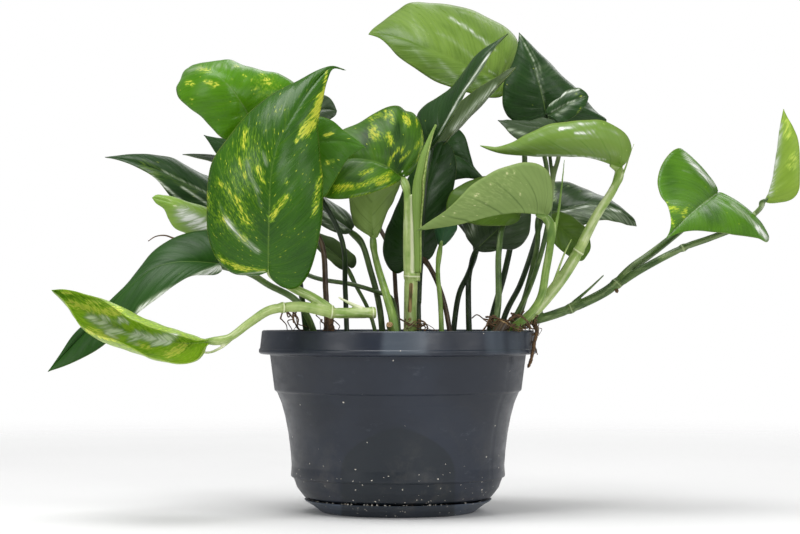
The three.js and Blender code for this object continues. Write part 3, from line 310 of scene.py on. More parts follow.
               (0.5, 0.8, (47.8, 239.8), (53.2, 235)), (0.5, 0.7, (44, 243), (50, 237)),
               (2.2, 0.3, (-1, 262)), (0.8, 0.7, (12.9, 236.2), (28.1, 230.6)),
               (1.6, 0.6, (36, 238), (44, 230)), (1.5, 0.55, (22, 243.5), (31, 234)),
               (1.5, 0.5, (8, 250), (17, 240.5)), (1.2, 0.5, (47, 234.6), (53, 229)),
               (5.0, 0.14, (48, 230), (26, 238)),
               (1.3, 0.6, (50, 225.5), (56, 225.8))]),
    "leaf_top_right": dict(
        midrib=[(80, 214, 28), (78.5, 222, 25), (76, 231, 22.5), (73, 240, 23), (69, 249.5, 26.5),
                (65.5, 258.5, 32)],
        left=[(77.5, 212, 27.5), (73, 209.3, 27), (66, 209.5, 26), (60, 212.3, 26), (57, 217.5, 26),
              (56.3, 223, 26), (57, 229.5, 26), (59.3, 236, 26), (61.7, 242, 26.3), (64, 248, 27.5),
              (65, 253, 29.5)],
        right=[(82.5, 211, 29), (88, 207.5, 32), (96, 205.8, 37), (105, 206.3, 41), (111.5, 208.8, 42.5),
               (112.7, 210.8, 42.3), (108.3, 214.5, 41.7), (102, 221, 40.3), (97, 228, 39),
               (90, 234.5, 37.5), (80.5, 243.3, 35.5), (75.5, 248.2, 34.5), (70, 254, 33)],
        bow=(0.10, 0.10), look="night",
        sheen_and_pale_lines=[(0.7, 0.8, (66, 257), (73.5, 243), (79.2, 221)),
               (0.6, 0.5, (68, 257), (76, 242), (79.6, 226)), (5, 0.3, (87, 234), (80, 240)),
               (2.5, 0.2, (63, 226), (66, 240))]),
    "leaf_small_right": dict(
        midrib=[(85, 206, -8), (78, 207, -12), (70, 208, -14), (62, 209.7, -15.5), (54, 211, -16)],
        left=[(85.5, 203, -11), (84, 199.5, -15), (79, 197.3, -18.5), (72, 197, -20.5), (66, 199.5, -21),
              (61.5, 202.7, -20.5), (58, 206.7, -19)],
        right=[(86.5, 208, -5), (84.5, 210.7, -3.5), (79.5, 211.9, -4), (73, 211.3, -6.5),
               (66, 210.6, -10), (59.5, 211, -13.5)],
        look="slate",
        sheen_and_pale_lines=[(1.5, 0.8, (60, 206), (76, 201))]),
    "leaf_folded_right": dict(
        midrib=[(81.5, 213.5, 3), (87, 216.7, 1), (92.5, 220, 0), (98, 222.3, 0), (103.2, 223.7, 1)],
        left=[(79.8, 215, 5), (81.8, 219, 5.5), (86.8, 223.2, 5), (91.8, 227, 4.5), (97, 228.6, 4),
              (101, 226.8, 2.5)],
        right=[(84, 211.3, 0), (89, 209.8, -2.7), (94.5, 212.5, -3.5), (99, 216, -3),
               (102.2, 220.3, -1.3)],
        bow=(0.10, 0.10), look="night",
        pale=[(1.0, 0.75, (96.5, 225), (100.5, 223.6)), (0.7, 0.7, (99, 218), (97, 214.5))],
        sheen_and_pale_lines=[(0.8, 1.2, (82, 219), (91, 226), (98, 227.8)), (1.6, 0.6, (86, 214), (95, 220)),
               (0.6, 0.8, (83, 215.5), (92, 220.5), (101, 223.6))]),
    "leaf_arched": dict(
        midrib=[(120, 186, -32), (113, 189, -34.5), (105, 191.3, -36), (95, 192.5, -37.5),
                (85, 192.9, -38), (75, 192.8, -38), (65, 192.7, -37), (56, 193.5, -35.5), (50, 195, -34.5),
                (44.5, 197.3, -34)],
        left=[(122, 187.5, -33), (125.3, 191.5, -35), (126.3, 196.5, -37), (124.3, 202, -39),
              (118.5, 207, -41), (110, 210.3, -43), (100, 211.2, -44), (90, 210.3, -44), (80, 207.8, -43),
              (70, 203.2, -41), (62, 199, -39), (55.5, 197, -37), (50, 196.6, -35.5)],
        right=[(118.5, 188.5, -29), (118, 194, -23), (114, 200, -17.5), (107, 204, -15), (98, 205, -14),
               (88, 204, -15), (76, 201, -18), (65, 198, -23.5), (55, 196.3, -29.5)],
        bow=(-0.36, -0.20), wave=0.7, look="fresh",
        sheen_and_pale_lines=[(0.9, 1.7, (88, 206.4), (98, 208.3), (106, 208.6)), (1.1, 1.3, (96, 204), (106, 204.6)),
               (1.3, 0.7, (71, 200.6), (80, 204), (88, 206)),
               (1.1, 0.7, (108, 208), (116, 205.6), (120, 203)),
               (2.4, 0.45, (60, 195.5), (85, 196), (118, 193)), (1.2, 0.5, (86, 200), (108, 202)),
               (0.8, 1.0, (75, 192), (98, 191.5), (112, 189.5))]),
    "leaf_mid_right": dict(
        midrib=[(80, 160, -48), (75, 161.2, -50), (67, 161.8, -53), (60, 161.5, -54), (50, 159.8, -55),
                (41, 157.3, -55), (33, 155.2, -54.5), (22, 153.2, -52.5), (10.5, 151.5, -50)],
        left=[(81.5, 160.5, -50), (83.3, 165, -55), (83.6, 172.5, -59), (82.5, 180, -61),
              (79.8, 184.5, -62), (75, 187.4, -62.5), (68, 188.2, -63), (60, 186.4, -63.5), (53, 184, -64),
              (46.7, 180.3, -63.5), (40, 176, -62.5), (34.7, 170.6, -61.5), (30, 165.8, -59.8),
              (25, 161.5, -57.7), (17.5, 156.6, -53.7)],
        right=[(80.5, 162, -45.5), (81, 168, -40.5), (78, 174.5, -36), (71, 179.5, -34), (62, 179.3, -34),
               (50, 173.3, -36), (38, 166, -40), (27, 159.8, -44.5), (18, 155, -48)],
        bow=(-0.15, -0.15), wave=0.6, look="fresh_matte",
        pale=[(0.6, 0.9, (59, 183), (58, 180.5)), (0.6, 0.8, (63, 184), (62, 181)),
              (0.7, 0.9, (40, 169), (43, 171)), (0.6, 0.9, (47, 166), (49, 167)),
              (0.6, 0.8, (66, 170), (66.5, 172)), (12, 0.3, (36, 165), (58, 176)),
              (0.6, 0.8, (30, 160), (30.6, 160.6)), (0.6, 0.8, (50, 176), (50.6, 176.6))],
        shade=[(4, 0.5, (44, 172), (56, 170), (66, 166))],
        sheen_and_pale_lines=[(4, 0.1, (30, 158), (50, 166))]),
    "leaf_dark_dome": dict(
        midrib=[(12, 186, 38), (18, 190.5, 35.5), (25, 193, 34), (32, 191.5, 34), (40, 186, 35),
                (50, 176, 38)],
        left=[(11, 189, 39), (11.5, 195, 40), (15.5, 201, 40), (20.5, 204.7, 39), (26, 206.6, 38),
              (31.5, 206.5, 37.5), (35.7, 202.8, 37), (38.2, 195.5, 37), (40.5, 187.5, 37),
              (43.7, 182.3, 37.3)],
        right=[(13.5, 183, 37), (18, 178.5, 34), (24, 177, 32.5), (30, 178.3, 32.3), (37, 179.5, 33),
               (43.5, 178.5, 35.5)],
        bow=(0.10, 0.10), look="night"),
    "leaf_dark_centre": dict(
        midrib=[(9, 138, -6), (10, 148, -8.5), (12, 160, -10), (14.5, 170, -9.5), (18, 181, -8),
                (25, 200, 0)],
        left=[(7, 134.5, -5.5), (3.5, 130, -4.5), (-0.5, 128, -4), (-4.3, 130.3, -3), (-7.2, 135.5, -2.5),
              (-8.4, 142, -2), (-7, 150, -1.5), (-3.3, 158, -1), (0, 166, -1), (4.5, 178, -1),
              (11, 190, -0.5), (18.5, 197.5, 0)],
        right=[(11, 135.7, -6), (14.5, 134.5, -5.5), (18.3, 137, -5), (21.8, 145, -4.5), (25, 155, -4),
               (28, 165, -4), (30, 174, -3.5), (31.2, 183, -2.7), (31, 191, -1.5), (28.5, 197, -0.5)],
        bow=(0.06, 0.06), look="night"),
    "leaf_olive": dict(
        midrib=[(66, 160, -16), (56, 164, -18.5), (46, 166, -20), (36, 164.7, -19.5), (26, 161, -18)],
        left=[(65.5, 157, -18.5), (61, 154.3, -21.5), (52, 153.7, -24), (43, 154.3, -24),
              (34.5, 156.5, -22.5), (29, 158.7, -20)],
        right=[(67.3, 164, -13.5), (67.5, 171, -11), (64, 177.3, -9.7), (57, 180.7, -10), (49, 180.7, -11),
               (42, 179.3, -12), (35.5, 177, -13.3), (29.5, 172.5, -15), (26.5, 166.5, -16.7)],
        look="olive"),
    "leaf_dark_right": dict(
        midrib=[(76, 160, 20), (84, 161.5, 16.5), (92, 163.3, 14), (101, 165.7, 12.5), (109, 166.3, 12),
                (118, 163, 13.5), (124, 158.8, 15.7), (129, 153.5, 18.5)],
        left=[(75.5, 164, 24), (77.5, 171, 28.5), (83, 177, 30.5), (90, 178.3, 30.3), (97, 175.5, 29.5),
              (105, 171.9, 28.5), (112, 168.9, 27), (118.5, 165.6, 23.5), (124, 160.8, 20.3),
              (127.3, 157.6, 19)],
        right=[(77.5, 156.8, 16), (81.5, 153.3, 10.5), (89, 152, 6.5), (98, 153.5, 3.5), (107, 156.3, 2.3),
               (113, 157.2, 3.3), (118.5, 156, 6.5), (123, 154.3, 11)],
        bow=(0.10, 0.06), wave=0.5, look="speckled_dark",
        pale=[(1.4, 1.2, (83.6, 175), (84.6, 168)), (0.8, 1.2, (98, 173)), (0.8, 1.1, (104, 171)),
              (0.8, 1.1, (92, 175.4))],
        sheen_and_pale_lines=[(5.0, 0.65, (90, 157), (104, 160.4), (118, 158.6), (127, 154.6)),
               (1.0, 0.5, (80, 172), (92, 170)), (0.7, 0.9, (86, 160.6), (104, 165), (120, 161.6))]),
    "leaf_disc_right": dict(
        midrib=[(82, 157, -16), (87, 153.3, -18.5), (92, 149, -20), (97.5, 143.7, -20.5),
                (102, 137.6, -20)],
        left=[(83, 160, -14), (87.5, 161.2, -14), (92.5, 160, -14.5), (97.5, 156.3, -15.3),
              (102, 151.5, -16.5), (104, 145.3, -18), (103.7, 140.7, -19)],
        right=[(81, 153.5, -18), (81.5, 148.7, -20.3), (85, 143.5, -22), (90, 139, -22.5),
               (95, 136, -22.3), (99.3, 134.8, -21.3)],
        wave=0.3, look="olive"),
    "leaf_far_right": dict(
        midrib=[(173, 172, 0), (170.5, 170, -6), (166, 167, -17), (160, 162, -33), (153, 155.7, -50),
                (145, 147, -68)],
        left=[(176, 171, 1.5), (180.5, 168.3, 3), (185, 165.3, 4), (190.5, 161, 2.5), (197, 154.3, -3),
              (200.3, 147.3, -7.5), (199, 144.8, -10), (195, 146.9, -13.5), (190, 148, -18),
              (180, 149.2, -27.5), (171, 150.2, -37), (160, 151.2, -49), (152.5, 150, -58.5)],
        right=[(171.3, 175, -1), (168, 179.8, -3), (162.5, 186.7, -5), (157.5, 192, -7.5),
               (153, 195.6, -10.5), (149.5, 194.8, -13), (145.5, 191.3, -16.5), (142, 185.5, -22),
               (140.3, 177.7, -30), (141.7, 171.5, -38), (145.3, 165, -46.5), (147.4, 156.5, -57),
               (146.9, 151, -63.5)],
        bow=(0.10, 0.10), wave=0.5, look="vivid",
        pale=[(2.0, 1.0, (149, 163), (152, 162)), (1.4, 1.0, (156, 163), (154, 158)),
              (0.9, 1.0, (147, 158), (149, 154)), (1.4, 0.9, (145, 166), (147, 163))],
        shade=[(4, 0.9, (169, 163), (172, 157)), (4, 0.7, (148, 172), (146, 184))],
        sheen_and_pale_lines=[(1.9, 1.3, (155, 192.6), (163, 183.6), (170.6, 176)),
               (1.6, 1.5, (195, 152), (199.5, 146.6)), (0.5, 0.8, (146, 148), (158, 160), (172, 171)),
               (2.2, 0.8, (181, 165), (194, 154)), (0.9, 0.5, (154, 184), (158.4, 182.6)),
               (1.6, 0.25, (143, 176), (150, 178)), (0.6, 0.35, (163, 164.6), (166, 158), (168.6, 151))]),
    "leaf_right_tip": dict(
        midrib=[(198, 167, -20), (200.5, 172, -21.5), (203, 181, -22.5), (205, 194, -22.5),
                (206.6, 206, -21), (208.5, 217, -18)],
        left=[(199.5, 166.5, -16), (203.5, 167.2, -9), (207.5, 171, -3.5), (209.8, 179, -2.5),
              (210.7, 191, -4.5), (210.7, 203, -9.5), (209.7, 211.5, -14)],
        right=[(201, 166, -20.5), (205.5, 166.2, -22), (210.5, 167.3, -23.7), (214.3, 169.3, -25.2),
               (216.6, 173, -26.3), (217.3, 181, -26.7), (217.2, 192, -26), (216.2, 200.7, -24.5),
               (213.8, 207, -22.3), (211, 212, -20.3)],
        bow=(0.10, 0.10), wave=0.3, look="yellow_green",
        pale=[(3, 0.9, (213, 187), (214, 191)), (2.6, 0.9, (211, 203), (210, 210))],
        sheen_and_pale_lines=[(2.4, 1.0, (201, 171), (204.5, 190), (206.5, 208))]),
    "leaf_grey_low": dict(
        midrib=[(42, 141, 4), (47, 145.5, 2.5), (53, 151, 2), (62, 160, 4), (70, 172, 10)],
        left=[(40.3, 143.3, 6), (37, 148, 8.5), (35, 155.5, 10), (36, 162.5, 11), (41, 170, 12.5),
              (50, 175.5, 14), (61, 175.7, 13)],
        right=[(44.5, 139.8, 4), (50, 139.6, 4.5), (57, 141.3, 5), (64, 141.8, 6), (68.7, 145.3, 7),
               (71.2, 151, 8), (71.7, 159, 9), (71.6, 166.5, 10)],
        look="slate",
        sheen_and_pale_lines=[(3.4, 0.9, (39, 150), (44, 167))]),
    "leaf_small_left": dict(
        midrib=[(-27, 132, 28), (-31.5, 136.3, 26.7), (-37.5, 141.5, 26), (-44.5, 146.2, 25),
                (-52, 150, 24)],
        left=[(-27.3, 130.4, 26.7), (-30, 130, 24.5), (-34, 132.3, 22.5), (-38, 136, 22), (-43, 140.6, 22),
              (-48, 145.8, 22.7)],
        right=[(-25, 130.8, 29), (-22.8, 132.8, 30), (-23, 137.3, 30.3), (-26, 140, 30.3),
               (-29.7, 143.3, 30.2), (-35, 147, 29.7), (-41, 149.4, 28.3), (-47, 150.6, 26)],
        wave=0.3, look="olive_dark"),
    "leaf_bluish": dict(
        midrib=[(23, 142.5, -22), (24, 147, -23.5), (25.5, 154, -24), (28, 162, -22)],
        left=[(22, 143.5, -21.3), (20.7, 147, -20.3), (20, 152, -20), (21, 157, -20.3), (24.3, 161, -21)],
        right=[(24.3, 143, -21.5), (28, 146, -20.3), (31, 150.3, -20), (32, 155.3, -20.3),
               (30.5, 160, -21.3)],
        wave=0.2, look="blue_green"),
}

# ---- what each leaf looks like -----------------------------------------------------------------------


def rgb(red, green, blue):
    """A colour as it is written in 0 to 255, as the shader wants it."""
    srgb = np.array([red, green, blue]) / 255
    linear = np.where(srgb <= 0.04045, srgb / 12.92, ((srgb + 0.055) / 1.055) ** 2.4)
    return (*linear.tolist(), 1.0)


def leaf_look(green, deep, lime, fleck, under, flecks, gloss):
    """A leaf's colours and wax.

    green, deep: the two greens of the blade; lime, fleck: its variegation; under: the lower face.
    flecks: how densely the variegation lies; gloss: roughness of the wax, less is shinier.
    """
    colours = dict(green=green, deep=deep, lime=lime, fleck=fleck, under=under)
    return {name: rgb(*colour) for name, colour in colours.items()} | dict(flecks=flecks, gloss=gloss)


LOOKS = {
    "front": leaf_look((54, 100, 12), (34, 74, 8), (110, 150, 22), (200, 206, 66), (98, 130, 58),
                       flecks=1.0, gloss=0.27),
    # Lighter than the leaf's own green: painted light, standing in for the light that falls into its hollow.
    "lime": leaf_look((150, 194, 44), (92, 142, 30), (176, 208, 66), (228, 232, 104), (132, 154, 84),
                      flecks=0.7, gloss=0.22),
    "deep": leaf_look((36, 78, 14), (24, 62, 8), (80, 122, 46), (140, 172, 70), (96, 116, 78),
                      flecks=0.2, gloss=0.42),
    # A green darkened by painted shade, for the leaves that lie in the shade of others.
    "night": leaf_look((40, 70, 30), (26, 50, 20), (76, 104, 34), (190, 196, 76), (70, 92, 52),
                       flecks=0.3, gloss=0.3),
    "cream_green": leaf_look((138, 172, 70), (104, 146, 48), (146, 174, 88), (200, 212, 160), (150, 176, 100),
                             flecks=0.6, gloss=0.32),
    "bright": leaf_look((80, 134, 12), (58, 108, 8), (120, 160, 32), (200, 210, 72), (112, 140, 62),
                        flecks=0.75, gloss=0.28),
    "slate": leaf_look((60, 78, 50), (36, 50, 32), (88, 106, 68), (130, 146, 100), (80, 96, 68),
                       flecks=0.1, gloss=0.3),
    "mid": leaf_look((66, 114, 20), (46, 90, 14), (106, 146, 38), (208, 214, 70), (98, 130, 60),
                     flecks=0.4, gloss=0.3),
    "centre": leaf_look((66, 110, 10), (28, 62, 8), (126, 158, 20), (186, 190, 46), (116, 144, 64),
                        flecks=0.7, gloss=0.42),
    "young": leaf_look((122, 148, 74), (100, 126, 58), (124, 150, 74), (156, 180, 92), (126, 152, 78),
                       flecks=0.2, gloss=0.42),
    "olive_dark": leaf_look((66, 86, 42), (38, 58, 26), (92, 110, 54), (150, 160, 92), (88, 104, 60),
                            flecks=0.1, gloss=0.34),
    "olive_bright": leaf_look((112, 142, 56), (70, 102, 30), (132, 160, 76), (168, 192, 112), (120, 144, 78),
                              flecks=0.2, gloss=0.3),
    "fresh": leaf_look((112, 152, 46), (84, 126, 34), (140, 172, 68), (178, 204, 112), (116, 144, 64),
                       flecks=0.35, gloss=0.26),
    "fresh_matte": leaf_look((122, 146, 80), (74, 100, 42), (144, 164, 98), (204, 208, 152), (128, 152, 84),
                             flecks=0.6, gloss=0.42),
    "olive": leaf_look((82, 112, 32), (58, 88, 26), (96, 118, 50), (150, 168, 90), (98, 124, 54),
                       flecks=0.2, gloss=0.38),
    "speckled_dark": leaf_look((50, 74, 38), (30, 50, 24), (80, 104, 58), (138, 160, 104), (96, 110, 84),
                               flecks=0.95, gloss=0.3),
    "vivid": leaf_look((82, 130, 28), (56, 98, 20), (118, 160, 36), (186, 206, 58), (100, 136, 58),
                       flecks=0.5, gloss=0.28),
    "yellow_green": leaf_look((132, 162, 56), (108, 142, 42), (154, 184, 68), (182, 202, 86), (124, 156, 66),
                              flecks=0.6, gloss=0.34),
    "rolled": leaf_look((124, 156, 60), (90, 124, 42), (150, 176, 92), (188, 204, 130), (124, 152, 76),
                        flecks=0.2, gloss=0.36),
    "blue_green": leaf_look((50, 92, 56), (32, 68, 40), (80, 122, 80), (140, 170, 120), (82, 112, 78),
                            flecks=0.1, gloss=0.36),
}

# ---- stems and stalks --------------------------------------------------------------------------------
# Each is a list of branches that grow together, with their places in growing order and the radius at the
# first and the last of them. A branch that carries a leaf names it. Thin dry ones are roots or sheaths.
# cut: the branch's last end is cut off. rings: places (across, up) of the nodes. scars, pale: strokes of
# brown and of pale skin, as on the leaves; the pale strokes along a stalk's length are partly painted
# highlights.

ROOTED = 76  # how low the planted ends of the stalks reach

STALKS = {
    "runner_left": dict(green="stalk_light", branches=[
        dict(radius=(2.9, 2.7),
             path=[(-12, 107, -58), (-25, 106.8, -60), (-36, 107, -62), (-50, 110, -65), (-62, 110, -68)]),
        dict(radius=(2.6, 1.8), leaf="leaf_low_left",
             path=[(-61, 110, -68), (-70, 108, -70), (-80, 101.5, -72), (-92, 93, -74),
                   (-102, 91.5, -74)]),
        dict(radius=(2.9, 1.8), leaf="leaf_front",
             path=[(-36, 108, -62), (-46, 115, -62), (-58, 121, -62), (-66, 126, -64),
                   (-69.5, 128.6, -68)]),
        dict(radius=(1.6, 1.2), dry=True,
             path=[(-36.5, 106, -61), (-36, 99, -57), (-35, 88, -53), (-34, ROOTED, -50)]),
        dict(radius=(1.5, 0.5), path=[(-16, 107.5, -59), (-24, 111, -60), (-32.5, 115.4, -61)]),
        dict(radius=(0.55, 1.0),
             path=[(-108, 86, -73), (-102, 85.4, -73), (-95, 88.4, -73), (-87, 95.4, -73)]),
    ], rings=[(-62, 110), (-36, 107), (-14, 107)],
        pale=[(1.6, 0.8, (-20, 110), (-32, 115.4)), (1.4, 0.8, (-104, 85.6), (-94, 89))]),
    "runner_right": dict(green="stalk_mid", branches=[
        dict(radius=(2.4, 2.7),
             path=[(54, ROOTED, 2), (57, 93, 0), (65, 101.5, -4), (76, 103.5, -6), (95, 110, -8),
                   (113, 119, -8), (119, 124, -8)]),
        dict(radius=(2.4, 1.6), leaf="leaf_far_right",
             path=[(117, 122, -8), (126, 131, -8), (135, 137.5, -6), (146, 146, 2), (158, 156, 8),
                   (168, 166, 8), (172.5, 171, 3)]),
        dict(radius=(2.2, 1.3), leaf="leaf_right_tip",
             path=[(117, 121, -8), (130, 129.5, -12), (154, 142, -14), (168, 147, -13), (182, 152.5, -12),
                   (189, 157, -7), (193, 160.5, -1), (196, 163.6, -7), (197.5, 166, -19)]),
        dict(radius=(1.5, 1.2), leaf="leaf_disc_right",
             path=[(76, 103.5, -6), (79, 120, -8), (82, 140, -12), (82, 156.6, -15.6)]),
        dict(radius=(1.2, 0.8), dry=True,
             path=[(72, 102, -6), (74, 99.8, -13), (75, 96, -25), (73.5, 90, -28), (72, 82, -28),
                   (70, 77, -27)]),
        dict(radius=(1.1, 0.4), path=[(93, 111, -9), (103, 119.5, -10), (111.5, 127.5, -10)]),
        dict(radius=(1.2, 1.0), dry=True, path=[(117, 121.5, -8), (118.5, 117.5, -10)]),
    ], rings=[(118, 123), (154, 142), (93, 109.5)],
        pale=[(1.8, 1.0, (186, 154.6), (191, 159), (197, 165)),
              (1.4, 0.5, (143, 137), (160, 143.5), (178, 150.5)),
              (1.3, 0.5, (122, 128), (131, 137), (140, 144.5)), (1.3, 0.4, (101, 112.4), (111, 117))]),
    "main_stem": dict(green="stalk_light", branches=[
        dict(radius=(3.3, 3.6),
             path=[(6.5, ROOTED, -34), (6.6, 100, -34), (7.2, 127, -36), (7.4, 130, -36.5)]),
        dict(radius=(2.5, 1.8), leaf="leaf_centre",
             path=[(5.6, 125, -36), (5.1, 138, -37), (5.0, 152, -38), (5.2, 165, -38.4), (4.6, 173.5, -37),
                   (1.5, 180.5, -34)]),
        dict(radius=(2.0, 1.2), path=[(7.3, 125, -37), (7.4, 140, -38), (7.5, 155, -39),
                                      (7.6, 171, -39.5)]),
        dict(radius=(2.0, 1.4),
             path=[(10.0, 124, -37), (10.4, 140, -38.5), (10.3, 152, -40), (10.3, 162, -41)]),
    ], rings=[(7.2, 127)], scars=[(1.3, 1.0, (7, 122), (6.4, 108)), (1.4, 0.8, (6.3, 103.2))],
        pale=[(1.2, 0.8, (7.7, 129), (7.6, 150), (7.6, 170)), (2.4, 0.5, (6.5, 101))]),
    "stalk_long_left": dict(green="stalk_mid", branches=[
        dict(radius=(1.9, 1.7), leaf="leaf_long_left",
             path=[(-44, ROOTED, -30), (-46, 98, -36), (-55, 113.5, -42), (-70, 122, -42), (-80, 128, -40),
                   (-96.5, 133.7, -35)]),
    ]),
    "stalk_upper_left": dict(green="stalk_mid", branches=[
        dict(radius=(1.3, 1.3), leaf="leaf_upper_left",
             path=[(2, ROOTED, -18), (0, 100, -16), (-4, 115, -13), (-11, 118, -9.5), (-24, 122, 2),
                   (-48, 127, 16), (-70, 142, 23), (-80, 154, 26), (-83.8, 159.6, 24.8)]),
    ]),
    "stalk_pale_left": dict(green="stalk_brown", branches=[
        dict(radius=(1.6, 1.4), leaf="leaf_pale_left",
             path=[(-38, ROOTED, -22), (-39, 118, -20), (-42, 146, -18), (-54, 160, -22), (-72, 158, -20),
                   (-85.5, 152.3, -18)]),
    ]),
    "stalk_top_left": dict(green="stalk_dark", branches=[
        dict(radius=(1.4, 1.4), leaf="leaf_top_left",
             path=[(-27, ROOTED, -16), (-28.5, 120, -14), (-30, 145, -24), (-40, 166, -30),
                   (-60, 192, -28), (-79.5, 210.5, -30)]),
    ]),
    "stalk_back_left": dict(green="stalk_brown", branches=[
        dict(radius=(1.3, 1.2), leaf="leaf_back_left",
             path=[(2, ROOTED, 12), (-1, 115, 16), (-4, 140, 22), (-20, 165, 36), (-42, 178, 45),
                   (-61.5, 185.8, 50)]),
        dict(radius=(1.1, 1.0), leaf="leaf_small_grey",
             path=[(-40, 177.3, 44.2), (-49, 190, 22), (-56.3, 205.5, -9.3)]),
    ]),
    "stalk_long_back": dict(green="stalk_mid", branches=[
        dict(radius=(1.8, 1.6), leaf="leaf_long_back",
             path=[(-7, ROOTED, -4), (-10, 110, -4), (-15, 130, -4), (-20, 145, -5), (-24.6, 151.2, -6)]),
    ]),
    "stalk_mid_left": dict(green="stalk_dark", branches=[
        dict(radius=(1.7, 1.4), leaf="leaf_mid_left",
             path=[(-47, ROOTED, -14), (-50, 100, -18), (-54, 130, -30), (-60, 160, -36),
                   (-66, 183, -36.5), (-66.2, 189.6, -38.8)]),
    ]),
    "stalk_cupped": dict(green="stalk_fresh", branches=[
        dict(radius=(2.8, 1.5), leaf="leaf_cupped",
             path=[(-1, ROOTED, -50), (-2.5, 102, -48), (-5, 112, -44), (-11, 132, -30), (-13, 141, -23),
                   (-13.5, 147.8, -18.5)]),
        dict(radius=(1.8, 1.9), cut=True, path=[(-2.5, 95, -48.5), (-4, 98.5, -53), (-4.6, 100.6, -56)]),
    ]),
    "stalk_spears": dict(green="stalk_dark", branches=[
        dict(radius=(1.5, 1.3), leaf="leaf_spear_back",
             path=[(12, ROOTED, -18), (11, 120, -16), (13, 150, -20), (15, 178, -18),
                   (16.8, 195.7, -8.6)]),
        dict(radius=(1.4, 1.3), leaf="leaf_spear_front",
             path=[(11.3, 112, -16.5), (12, 128, -4), (14, 150, 10), (15, 175, 12), (19.6, 194.6, 8.4)]),
    ]),
    "stalk_top": dict(green="stalk_dark", branches=[
        dict(radius=(1.9, 1.4), leaf="leaf_top",
             path=[(48, ROOTED, 26), (50, 100, 29), (58, 130, 34), (64, 160, 40), (68.5, 190, 44),
                   (63, 218, 50), (57.4, 231.5, 47)]),
    ], pale=[(3, 0.8, (65, 180), (68.5, 190), (68, 199))]),
    "stalk_top_right": dict(green="stalk_dark", branches=[
        dict(radius=(1.7, 1.3), leaf="leaf_top_right",
             path=[(50, ROOTED, 10), (58, 106, 10), (66, 122, 18), (73, 142, 28), (78, 160, 35),
                   (80.5, 183, 36), (78.5, 196, 34), (79.8, 213.5, 28.4)]),
    ], pale=[(3, 0.9, (80, 200), (80.5, 183), (79.5, 168))]),
    "stalk_small_right": dict(green="stalk_mid", branches=[
        dict(radius=(1.6, 1.2), leaf="leaf_small_right",
             path=[(50, ROOTED, -10), (60, 98, -9), (70, 118, -14), (77, 138, -26), (81, 155, -30),
                   (84, 180, -16), (87, 194, -8), (85.3, 205.6, -8)]),
        dict(radius=(1.1, 0.9), leaf="leaf_folded_right",
             path=[(83.8, 178, -18), (82, 194, -5), (81.8, 213.5, 2.8)]),
    ], pale=[(3, 0.7, (86.5, 196), (84, 180), (82, 164))]),
    "stalk_arched": dict(green="stalk_light", branches=[
        dict(radius=(3.0, 3.1),
             path=[(60, ROOTED, -14), (62, 95, -16), (69, 103.5, -22), (75, 109, -27), (88, 125, -32),
                   (97.5, 140, -34)]),
        dict(radius=(2.8, 2.0), leaf="leaf_arched",
             path=[(97, 139, -34), (107, 159, -36), (116, 173, -36), (119.5, 181, -34),
                   (119.9, 185.6, -32.4)]),
        dict(radius=(1.0, 0.25),
             path=[(112, 165, -36), (117.5, 173, -36.5), (122.5, 184, -36), (126, 194, -36),
                   (128, 199, -36)]),
        dict(radius=(0.9, 0.4), path=[(83, 120, -31), (90, 139, -36), (94, 147, -38)]),
    ], rings=[(97.5, 140)],
        pale=[(1.3, 0.5, (100, 146), (109, 163), (116, 175)),
              (1.3, 0.5, (75, 107), (88, 123), (95, 135))]),
    "stalk_mid_right": dict(green="stalk_fresh", branches=[
        dict(radius=(2.3, 2.0), leaf="leaf_mid_right",
             path=[(56, ROOTED, -30), (60, 96, -32), (71, 106, -39), (77, 115, -42), (80, 130, -44),
                   (82.5, 146, -46), (82, 155, -47), (80.4, 159.7, -48)]),
        dict(radius=(1.2, 0.3),
             path=[(80.5, 132, -44.5), (83.2, 143, -46), (86.5, 160, -48), (88.8, 178, -48),
                   (90, 190, -46)]),
    ]),
    "stalk_dark_pair": dict(green="stalk_dark", branches=[
        dict(radius=(1.6, 1.4), leaf="leaf_dark_dome",
             path=[(28, ROOTED, 8), (33, 117, 10), (38, 128, 12), (42, 141, 16), (36, 152, 26),
                   (22, 168, 38), (12.4, 185.4, 38.4)]),
        dict(radius=(1.7, 1.5), leaf="leaf_grey_low",
             path=[(39, ROOTED, 2), (38, 115, 5), (38.4, 127, 11), (40.5, 136, 8), (41.8, 140.6, 4.2)]),
    ]),
    "stalk_dark_centre": dict(green="stalk_brown", branches=[
        dict(radius=(1.5, 1.3), leaf="leaf_dark_centre",
             path=[(31, ROOTED, -10), (25, 112, -8), (19, 128, -7), (14, 135.5, -6), (9.5, 137.8, -6)]),
    ]),
    "stalk_olive": dict(green="stalk_mid", branches=[
        dict(radius=(1.9, 1.5), leaf="leaf_olive",
             path=[(48, ROOTED, -32), (54, 110, -30), (54.5, 140, -26), (58, 156, -18),
                   (65.6, 159.8, -16)]),
    ]),
    "stalk_dark_right": dict(green="stalk_mid", branches=[
        dict(radius=(1.8, 1.5), leaf="leaf_dark_right",
             path=[(61, ROOTED, 4), (64, 100, 7), (67, 110, 9), (70, 120, 11), (75, 142, 14),
                   (76, 159.6, 20.4)]),
    ]),
    "stalk_small_left": dict(green="stalk_mid", branches=[
        dict(radius=(1.2, 1.1), leaf="leaf_small_left",
             path=[(-8, ROOTED, 26), (-15, 106, 28), (-23, 122, 29), (-27, 131.6, 28.4)]),
    ]),
    "stalk_bluish": dict(green="stalk_fresh", branches=[
        dict(radius=(1.5, 1.2), leaf="leaf_bluish",
             path=[(24, ROOTED, -30), (23, 110, -28), (21.5, 130, -25), (22.9, 142, -22.4)]),
    ]),
    "cut_stem_right": dict(green="stalk_brown", branches=[
